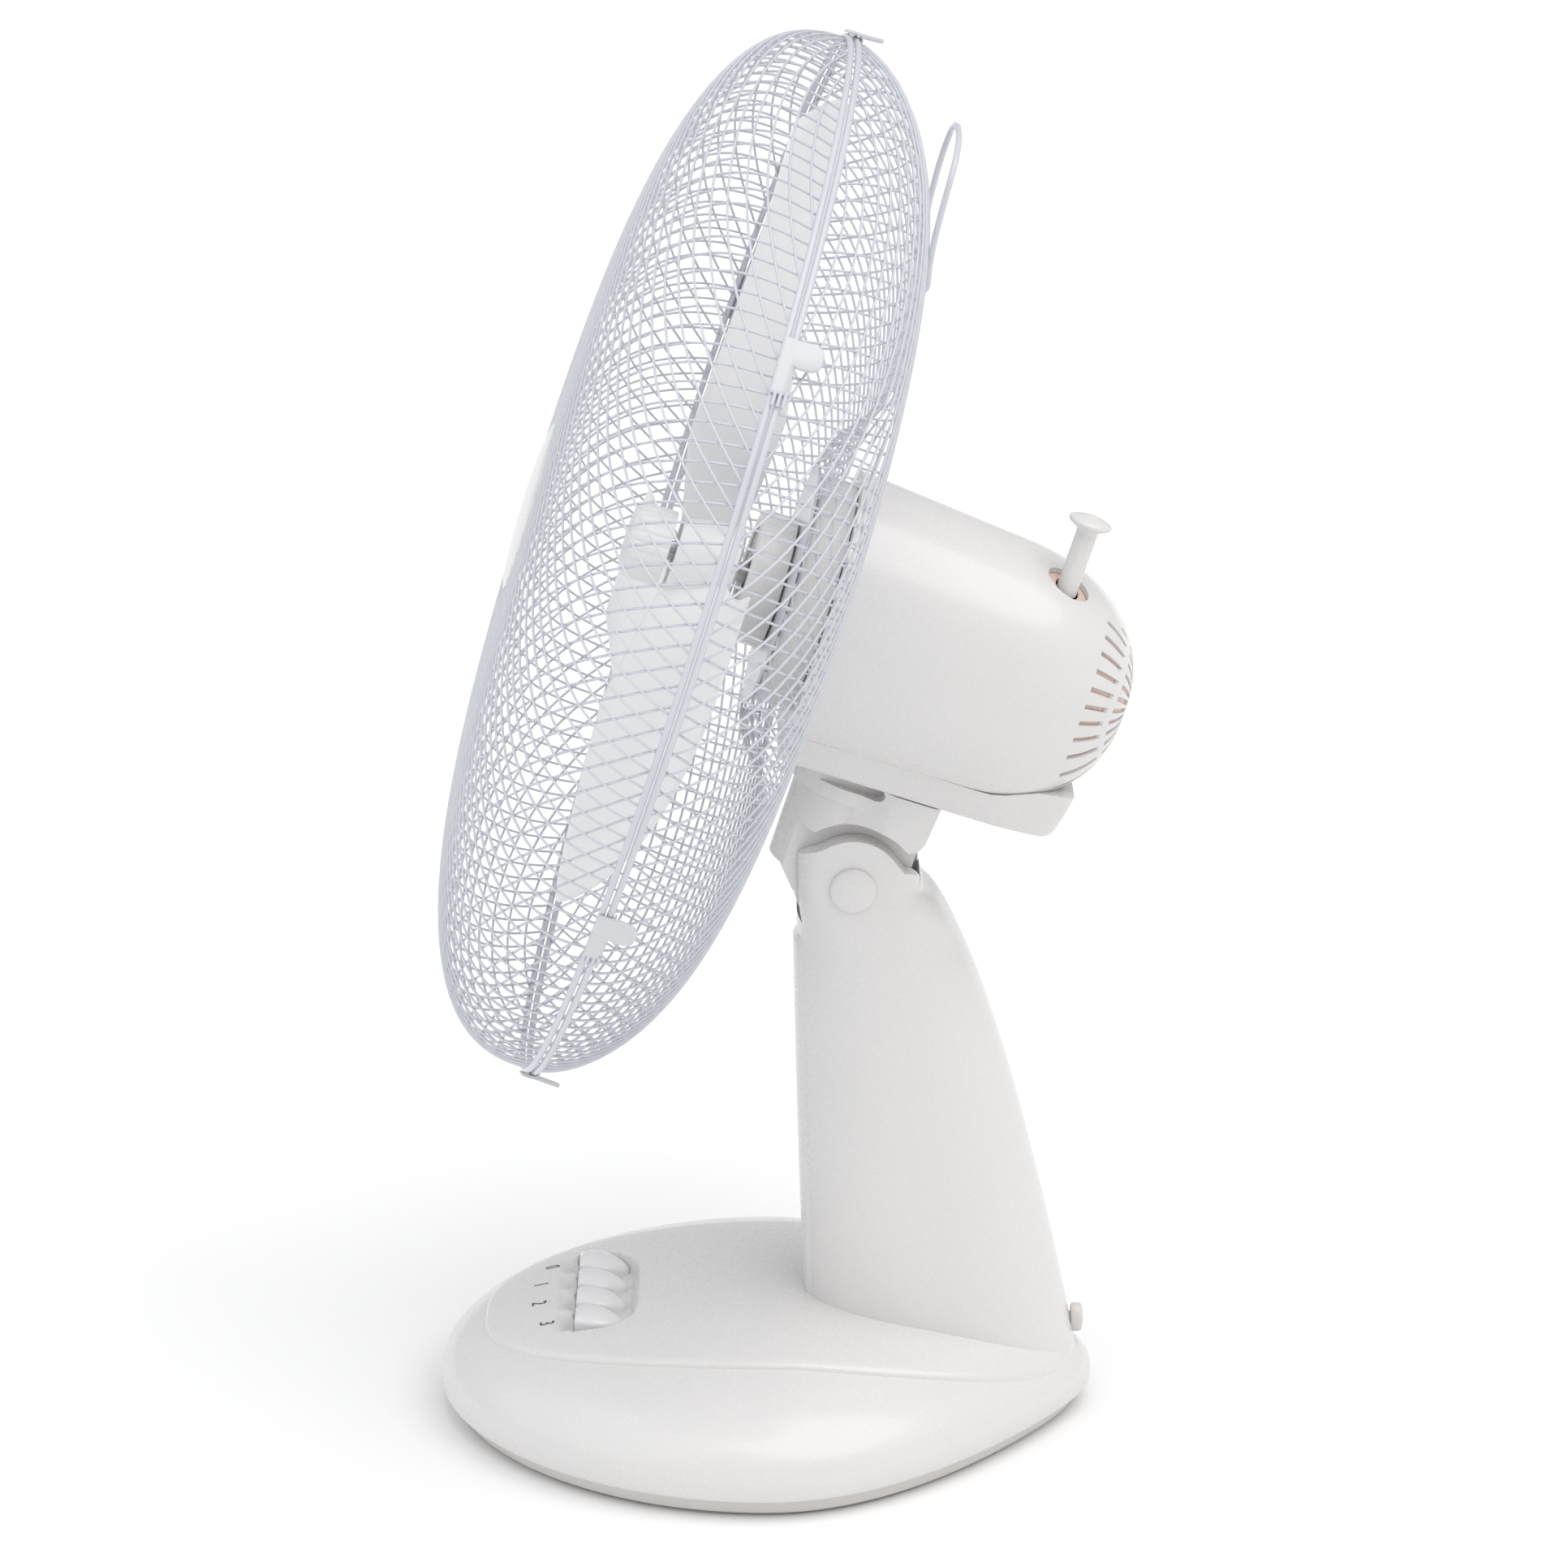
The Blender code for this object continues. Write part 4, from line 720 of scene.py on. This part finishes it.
# ---------------------------------------------------------------- motor, shaft and gears
# Steel laminations, enamelled copper windings, die-cast end bells with bronze bearings, and the
# worm, nylon wheels, crank and link that turn the head. All of it is hidden inside the housing.
laminations = metal("laminated_steel", (0.35, 0.35, 0.37), 0.5, (1.0, 160.0, 50.0))
copper = metal("copper_winding", (0.55, 0.24, 0.10), 0.4, (90.0, 90.0, 20.0))
die_cast = metal("die_cast", (0.60, 0.61, 0.62), 0.5, (40.0, 40.0, 40.0))
bronze = metal("bronze", (0.62, 0.45, 0.22), 0.35)
cast_plate = metal("cast_plate", (0.12, 0.12, 0.13), 0.75, (30.0, 30.0, 30.0), 0.0001, 0.6)
nylon = moulded("wheel_nylon", (0.78, 0.76, 0.70), (0.72, 0.70, 0.64), 0.45)
finished_nodes = [
    (laminations, ["stator", "rotor"]),
    (copper, ["winding_front", "winding_rear"]),
    (die_cast, ["end_bell_front", "end_bell_rear", "gear_case"]),
    (bronze, ["bearing_front", "bearing_rear"]),
    (cast_plate, ["ballast_plate"]),
    (bright_steel, ["motor_shaft", "worm", "clutch_shaft", "crank_disc", "link_arm", "swivel_pin"]),
    (nylon, ["worm_wheel", "crank_gear"]),
]
for finish, nodes in finished_nodes:
    for node in nodes:
        frame["nodes"][node].data.materials.clear()
        frame["nodes"][node].data.materials.append(finish)


# ---------------------------------------------------------------- fan blade
# Three broad milky paddles and their hub, moulded in one, on the front end of the shaft.
blade_white = moulded("blade_polypropylene", (0.92, 0.92, 0.925), (0.89, 0.89, 0.895), 0.3, 500.0, 0.00001)


def paddle(index, rows=48, columns=40):
    """One paddle as a closed skin. Radius r runs 0 to 1 along it and s from -1 to 1 across it: the
    angle is a swept centre plus s times a half angle that rounds off at the tip, and the depth is s
    times a pitch that falls with r, less a little cup. Two copies 1 mm each way make its faces."""
    r = np.linspace(0, 1, rows)[:, None]
    s = np.linspace(-1, 1, columns)[None, :]
    radius = 12 + 178 * r
    half = (0.62 - 0.06 * r) * (1 - 0.5 * r**6) * np.minimum(1.0, 0.55 + 1.6 * r)
    turn_angle = 2 * np.pi * index / 3 + np.pi / 2 + 0.22 * r + half * s
    depth = 6 + (23 - 9 * r) * np.minimum(1.0, 0.5 + 1.6 * r) * s - 6 * r * s * s
    reach = radius * (1 - 0.05 * s * s * r)
    skin = []
    rim = np.sqrt(np.maximum(0.0, 1 - np.abs(s) ** 24)) * np.sqrt(np.maximum(0.0, 1 - r**40))
    for thick in (1.0, -1.0):
        face_depth = depth + thick * np.maximum(rim, 0.12)
        skin.append(head(reach * np.cos(turn_angle), face_depth, reach * np.sin(turn_angle)))
    return sheet("paddle", skin[0], skin[1])


hub_profile = [(4.4, 20.6), (15.5, 20.6), (17.0, 19.6), (17.0, -4.2), (16.2, -5.0), (4.4, -5.0)]
blade = turned("blade_moulding", hub_profile, head(0, 0, 0), back, 72)
for index in range(3):
    carve(blade, paddle(index), "UNION")
fitted(blade, blade_white, "rotor", "blade_plastic", "fan_blade", sharp=40)


# ---------------------------------------------------------------- spinner
# The ribbed cap nut in front of the blades, with a left-hand thread onto the shaft.
spinner_rows = []
spinner_profile = [(4.4, -7.8, 0), (15.2, -7.8, 0), (15.6, -8.4, 0.6), (15.6, -20.5, 0.6), (15.0, -22.6, 0.3),
                   (13.6, -24.2, 0), (9.0, -25.0, 0), (4.0, -25.2, 0), (0.02, -25.2, 0)]
for radius, u, grip in spinner_profile:
    r = radius - grip * (0.5 + 0.5 * np.cos(24 * ribs)) ** 4
    spinner_rows.append(head(r * np.cos(ribs), u, r * np.sin(ribs)))
spinner = lofted("spinner_cap", spinner_rows)
fitted(spinner, blade_white, "rotor", "blade_plastic", "spinner_nut", sharp=35)


# ---------------------------------------------------------------- guard rings
# Two hoops of 2.6 mm wire with a white coating, one on each basket, that the clips hold together.
wire_white = moulded("coated_wire_white", (0.67, 0.68, 0.73), (0.59, 0.60, 0.655), 0.3, 400.0, 0.00003, 0.3)
ring_radius = 213.7
around = np.linspace(0, 2 * np.pi, 240, endpoint=False)


def tubes(lines, lifts, radius, sides=6):
    """Round wires along many centre lines at once. At each point the section is a circle in the plane
    of the lift direction and its cross product with the line's direction."""
    run = np.gradient(lines, axis=1)
    run = run / np.linalg.norm(run, axis=-1, keepdims=True)
    across = np.cross(run, lifts)
    across = across / np.linalg.norm(across, axis=-1, keepdims=True)
    rise = np.cross(across, run)
    angle = np.linspace(0, 2 * np.pi, sides, endpoint=False)
    circle = np.cos(angle)[:, None] * across[:, :, None] + np.sin(angle)[:, None] * rise[:, :, None]
    points = lines[:, :, None] + radius * circle
    count, length = lines.shape[:2]
    one = np.array(grid_faces(length, sides))
    faces = (one[None] + (np.arange(count) * length * sides)[:, None, None]).reshape(-1, 4).tolist()
    first = np.arange(sides)
    for start in range(count):
        offset = start * length * sides
        faces.append((first + offset).tolist())
        faces.append((first + offset + (length - 1) * sides).tolist())
    return points, faces


mount = frame["nodes"]["guard_mount_ring"]
mount.data.materials.clear()
mount.data.materials.append(wire_white)
for side, direction in (("front", -1), ("rear", 1)):
    section = np.linspace(0, 2 * np.pi, 14, endpoint=False)
    r = ring_radius + 1.3 * np.cos(section)[None, :]
    u = direction * 1.6 + 1.3 * np.sin(section)[None, :] + 0 * around[:, None]
    hoop = head(r * np.sin(around)[:, None], u, r * np.cos(around)[:, None])
    ring = solid(f"{side}_hoop", hoop, grid_faces(240, 14, rows_meet=True))
    fitted(ring, wire_white, "head", "coated_wire", f"{side}_guard_ring", sharp=60)


# ---------------------------------------------------------------- guard baskets
# Each basket is a mesh of white coated wire in two crossing directions, pressed to a bowl and welded
# to its hoop. The rear one is drawn in round the motor and open in its middle.
def bowl(side):
    """The bowl's outline from its middle to the hoop, as arc length, radius and depth. The front's
    depth falls as one less the cube of the radius, to the power 0.385, and the rear's as one less
    its power 4.2, to the power 0.61, with the middle drawn back in."""
    share = np.sin(np.linspace(0, 0.5 * np.pi, 4000))
    radius = (ring_radius - 1.2) * share
    if side == "front":
        depth = 63.1 * np.maximum(0, 1 - share**3) ** 0.385
    else:
        depth = 57.5 * np.maximum(0, 1 - share**4.2) ** 0.61 - 18.8 * ease((88 - radius) / 34)
    length = np.concatenate([[0], np.cumsum(np.hypot(np.diff(radius), np.diff(depth)))])
    return length, radius, depth


def basket(side, heading, lift, spacing=7.9, samples=64):
    """The wires of one direction. On the flat mesh they are straight and parallel; pressing keeps each
    point's bearing and makes its distance from the middle the arc length along the bowl."""
    length, radius, depth = bowl(side)
    reach = length[-1]
    heading = math.radians(heading)
    along = np.array([math.sin(heading), math.cos(heading)])
    aside = np.array([-along[1], along[0]])
    count = int(reach / spacing)
    offsets = (np.arange(-count, count) + 0.5) * spacing
    half = np.sqrt(reach**2 - offsets**2)
    hole = 52.0 if side == "rear" else 0.0
    start = np.sqrt(np.maximum(hole**2 - offsets**2, 0.0))
    through = start == 0
    ends = [(offsets[through], -half[through], half[through])]
    if hole:
        cut = ~through
        ends += [(offsets[cut], start[cut], half[cut]), (offsets[cut], -half[cut], -start[cut])]
    lines, normals = [], []
    for offset, low, high in ends:
        step = 0.5 - 0.5 * np.cos(np.linspace(0, np.pi, samples))
        place = low[:, None] + (high - low)[:, None] * step
        flat = place[..., None] * along + offset[:, None, None] * aside
        away = np.minimum(np.linalg.norm(flat, axis=-1), reach)
        bearing = np.arctan2(flat[..., 0], flat[..., 1])
        r, d = np.interp(away, length, radius), np.interp(away, length, depth)
        ahead, behind = np.minimum(away + 0.5, reach), np.maximum(away - 0.5, 0)
        slope_r = np.interp(ahead, length, radius) - np.interp(behind, length, radius)
        slope_d = np.interp(ahead, length, depth) - np.interp(behind, length, depth)
        size = np.hypot(slope_r, slope_d)
        out_r, out_d = -slope_d / size, slope_r / size
        direction = -1 if side == "front" else 1
        lines.append(head((r + lift * out_r) * np.sin(bearing), direction * (1.6 + d + lift * out_d),
                          (r + lift * out_r) * np.cos(bearing)))
        outward = head(out_r * np.sin(bearing), direction * out_d, out_r * np.cos(bearing)) - hub
        normals.append(outward * 1000)
    return np.concatenate(lines), np.concatenate(normals)


for side, heading in (("front", 85.0), ("rear", 100.0)):
    for name, turn_by, lift in (("outer", 29.0, 0.5), ("inner", -29.0, -0.5)):
        lines, normals = basket(side, heading + turn_by, lift)
        mesh_wires = solid(f"{side}_{name}_wires", *tubes(lines, normals, 0.00052))
        fitted(mesh_wires, wire_white, "head", "coated_wire", f"{side}_guard", sharp=80)


# ---------------------------------------------------------------- guard badge
# A plain domed white disc pressed onto the middle of the front basket.
badge_profile = [(0, 3.1), (8, 3.05), (16, 2.8), (24, 2.3), (30, 1.5), (33.6, 0.7), (35.4, -0.1), (36, -0.9),
                 (36, -1.5), (0, -1.5)]
badge = turned("plain_badge", badge_profile, head(0, -65.0, 0), -back, 120)
fitted(badge, gloss_white, "head", "white_plastic", "front_badge", sharp=50)


# ---------------------------------------------------------------- guard clips
# White spring clips that hook over both hoops. Each has a short body along the hoop, a rounded thumb
# tab that points to the rear at its upper end, and wire prongs at its lower end.
clip_white = moulded("clip_white_abs", (0.66, 0.665, 0.69), (0.63, 0.635, 0.66), 0.3, 600.0, 0.00001, 0.1)
for number in range(6):
    hinge = np.array(joints[f"clip_open_{number}"]["pos_m"])
    offset = hinge - hub
    bearing = math.atan2(offset[0], float(np.dot(offset, up)))

    def on_hoop(along, u, out):
        """A point by the hoop: so far along it from the clip, so far to the rear, so far outwards."""
        turn_angle = bearing + np.asarray(along, float) / ring_radius
        r = ring_radius + np.asarray(out, float)
        return head(r * np.sin(turn_angle), u, r * np.cos(turn_angle))

    section = np.array([(-2.35, 1.75), (-2.65, 2.0), (-2.7, 2.4), (-2.4, 2.75), (-1.6, 2.95), (-0.4, 3.0),
                        (1.4, 3.0), (2.6, 2.7), (3.5, 2.0), (4.0, 0.8), (4.0, -0.9), (3.35, -0.9),
                        (3.35, 0.9), (2.5, 1.7), (1.0, 1.75), (-1.0, 1.75)])
    on_outside = section[:, 1] > 1.8
    runs = np.concatenate([[-11.0, -10.7], np.linspace(-10, 10, 16), [10.7, 11.0]])
    inset = np.concatenate([[0.35, 0.1], np.zeros(16), [0.1, 0.35]])
    body_rings = [on_hoop(np.full(16, run), section[:, 0], section[:, 1] - drop * on_outside)
                  for run, drop in zip(runs, inset)]
    clip = lofted(f"clip_{number}", body_rings)
    angle = np.linspace(0, 2 * np.pi, 48, endpoint=False)
    tab_u = 6.6 + 6.4 * np.sign(np.cos(angle)) * np.abs(np.cos(angle)) ** 0.75
    tab_along = -5.6 + 5.4 * np.sign(np.sin(angle)) * np.abs(np.sin(angle)) ** 0.62
    tab_rings = []
    for out, shrink in ((1.0, 0.93), (1.15, 0.98), (1.45, 1.0), (2.4, 1.0), (2.75, 0.98), (2.9, 0.93)):
        tab_rings.append(on_hoop(-5.6 + (tab_along + 5.6) * shrink, 6.6 + (tab_u - 6.6) * shrink,
                                 out + 0.05 * np.maximum(tab_u - 4, 0)))
    carve(clip, lofted("tab", tab_rings), "UNION")
    fitted(clip, clip_white, f"clip_{number}", "white_plastic", f"guard_clip_{number}", sharp=45)
    prong_along = np.linspace(9.5, 15.5, 8)
    prongs = np.array([on_hoop(prong_along, np.full(8, u), np.full(8, 2.35)) for u in (-0.6, 1.4, 3.4)])
    prong_lift = np.broadcast_to(on_hoop(0, 0, 1) - on_hoop(0, 0, 0), prongs.shape)
    prong = solid(f"clip_prongs_{number}", *tubes(prongs, prong_lift * 1000, 0.0007, 8))
    fitted(prong, wire_white, f"clip_{number}", "coated_wire", sharp=60)


# ---------------------------------------------------------------- carry handle
# A loop of 2.5 mm coated wire that stands up behind the rear basket. Its feet hook round the wires.
leg = np.array([(36.0, 50.5, 137.0), (36.0, 53.4, 139.5), (35.5, 51.2, 149.0), (35.2, 49.8, 160.0),
                (34.8, 49.0, 172.0), (33.0, 48.6, 182.0), (28.0, 48.5, 189.5), (18.0, 48.5, 193.8),
                (6.0, 48.5, 195.4)])
knots = np.concatenate([leg, leg[::-1] * [-1, 1, 1]])
chord = np.concatenate([[0], np.cumsum(np.linalg.norm(np.diff(knots, axis=0), axis=1))])
fine = np.linspace(0, chord[-1], 180)
loop = np.stack([np.interp(fine, chord, knots[:, k]) for k in range(3)], -1)
smooth = np.array([1, 2, 3, 4, 3, 2, 1]) / 16
padded_loop = np.concatenate([loop[:1].repeat(3, 0), loop, loop[-1:].repeat(3, 0)])
loop = np.stack([np.convolve(padded_loop[:, k], smooth, "valid") for k in range(3)], -1)
handle_line = head(loop[:, 0], loop[:, 1], loop[:, 2])[None]
handle = solid("handle_loop", *tubes(handle_line, np.broadcast_to(back, handle_line.shape), 0.00125, 16))
fitted(handle, wire_white, "head", "coated_wire", "carry_handle", sharp=60)


# ---------------------------------------------------------------- floor, light and camera
# A plain pale floor under an even white sky, with one broad soft light from above and behind, as in
# a white studio, and a faint cool one from the front.
ground = bpy.data.meshes.new("floor")
ground.from_pydata([(-9, -9, 0), (9, -9, 0), (9, 9, 0), (-9, 9, 0)], [], [(0, 1, 2, 3)])
floor = bpy.data.objects.new("floor", ground)
bpy.context.scene.collection.objects.link(floor)
floor.data.materials.append(moulded("pale_floor", (0.95, 0.95, 0.95), (0.945, 0.945, 0.945), 0.9))

sky = bpy.data.worlds.new("soft_sky")
bpy.context.scene.world = sky
sky.use_nodes = True
sky.node_tree.nodes["Background"].inputs["Color"].default_value = (0.985, 0.99, 1.0, 1)
sky.node_tree.nodes["Background"].inputs["Strength"].default_value = 0.60


def soft_light(name, toward, strength, spread, colour):
    """A broad distant light that shines from a direction, softened over an angle in degrees."""
    lamp = bpy.data.lights.new(name, "SUN")
    lamp.energy = strength
    lamp.angle = math.radians(spread)
    lamp.color = colour
    obj = bpy.data.objects.new(name, lamp)
    bpy.context.scene.collection.objects.link(obj)
    level = math.hypot(toward[0], toward[1])
    obj.rotation_euler = (0, math.atan2(level, toward[2]), math.atan2(toward[1], toward[0]))


soft_light("overhead", (0.30, 0.35, 1.0), 1.65, 60, (1.0, 0.992, 0.982))
soft_light("front", (0.35, -1.0, 0.9), 0.60, 70, (0.96, 0.98, 1.0))

bpy.context.scene.view_settings.view_transform = "Standard"
lens = bpy.data.cameras.new("camera")
lens.sensor_width = 36.0
lens.lens = 36.0 * 6200 / 1932
camera = bpy.data.objects.new("camera", lens)
camera.location = (1.924, 0.002, 0.923)
camera.rotation_euler = (math.radians(90 - 18.64), 0, math.radians(90))
bpy.context.scene.collection.objects.link(camera)
bpy.context.scene.camera = camera
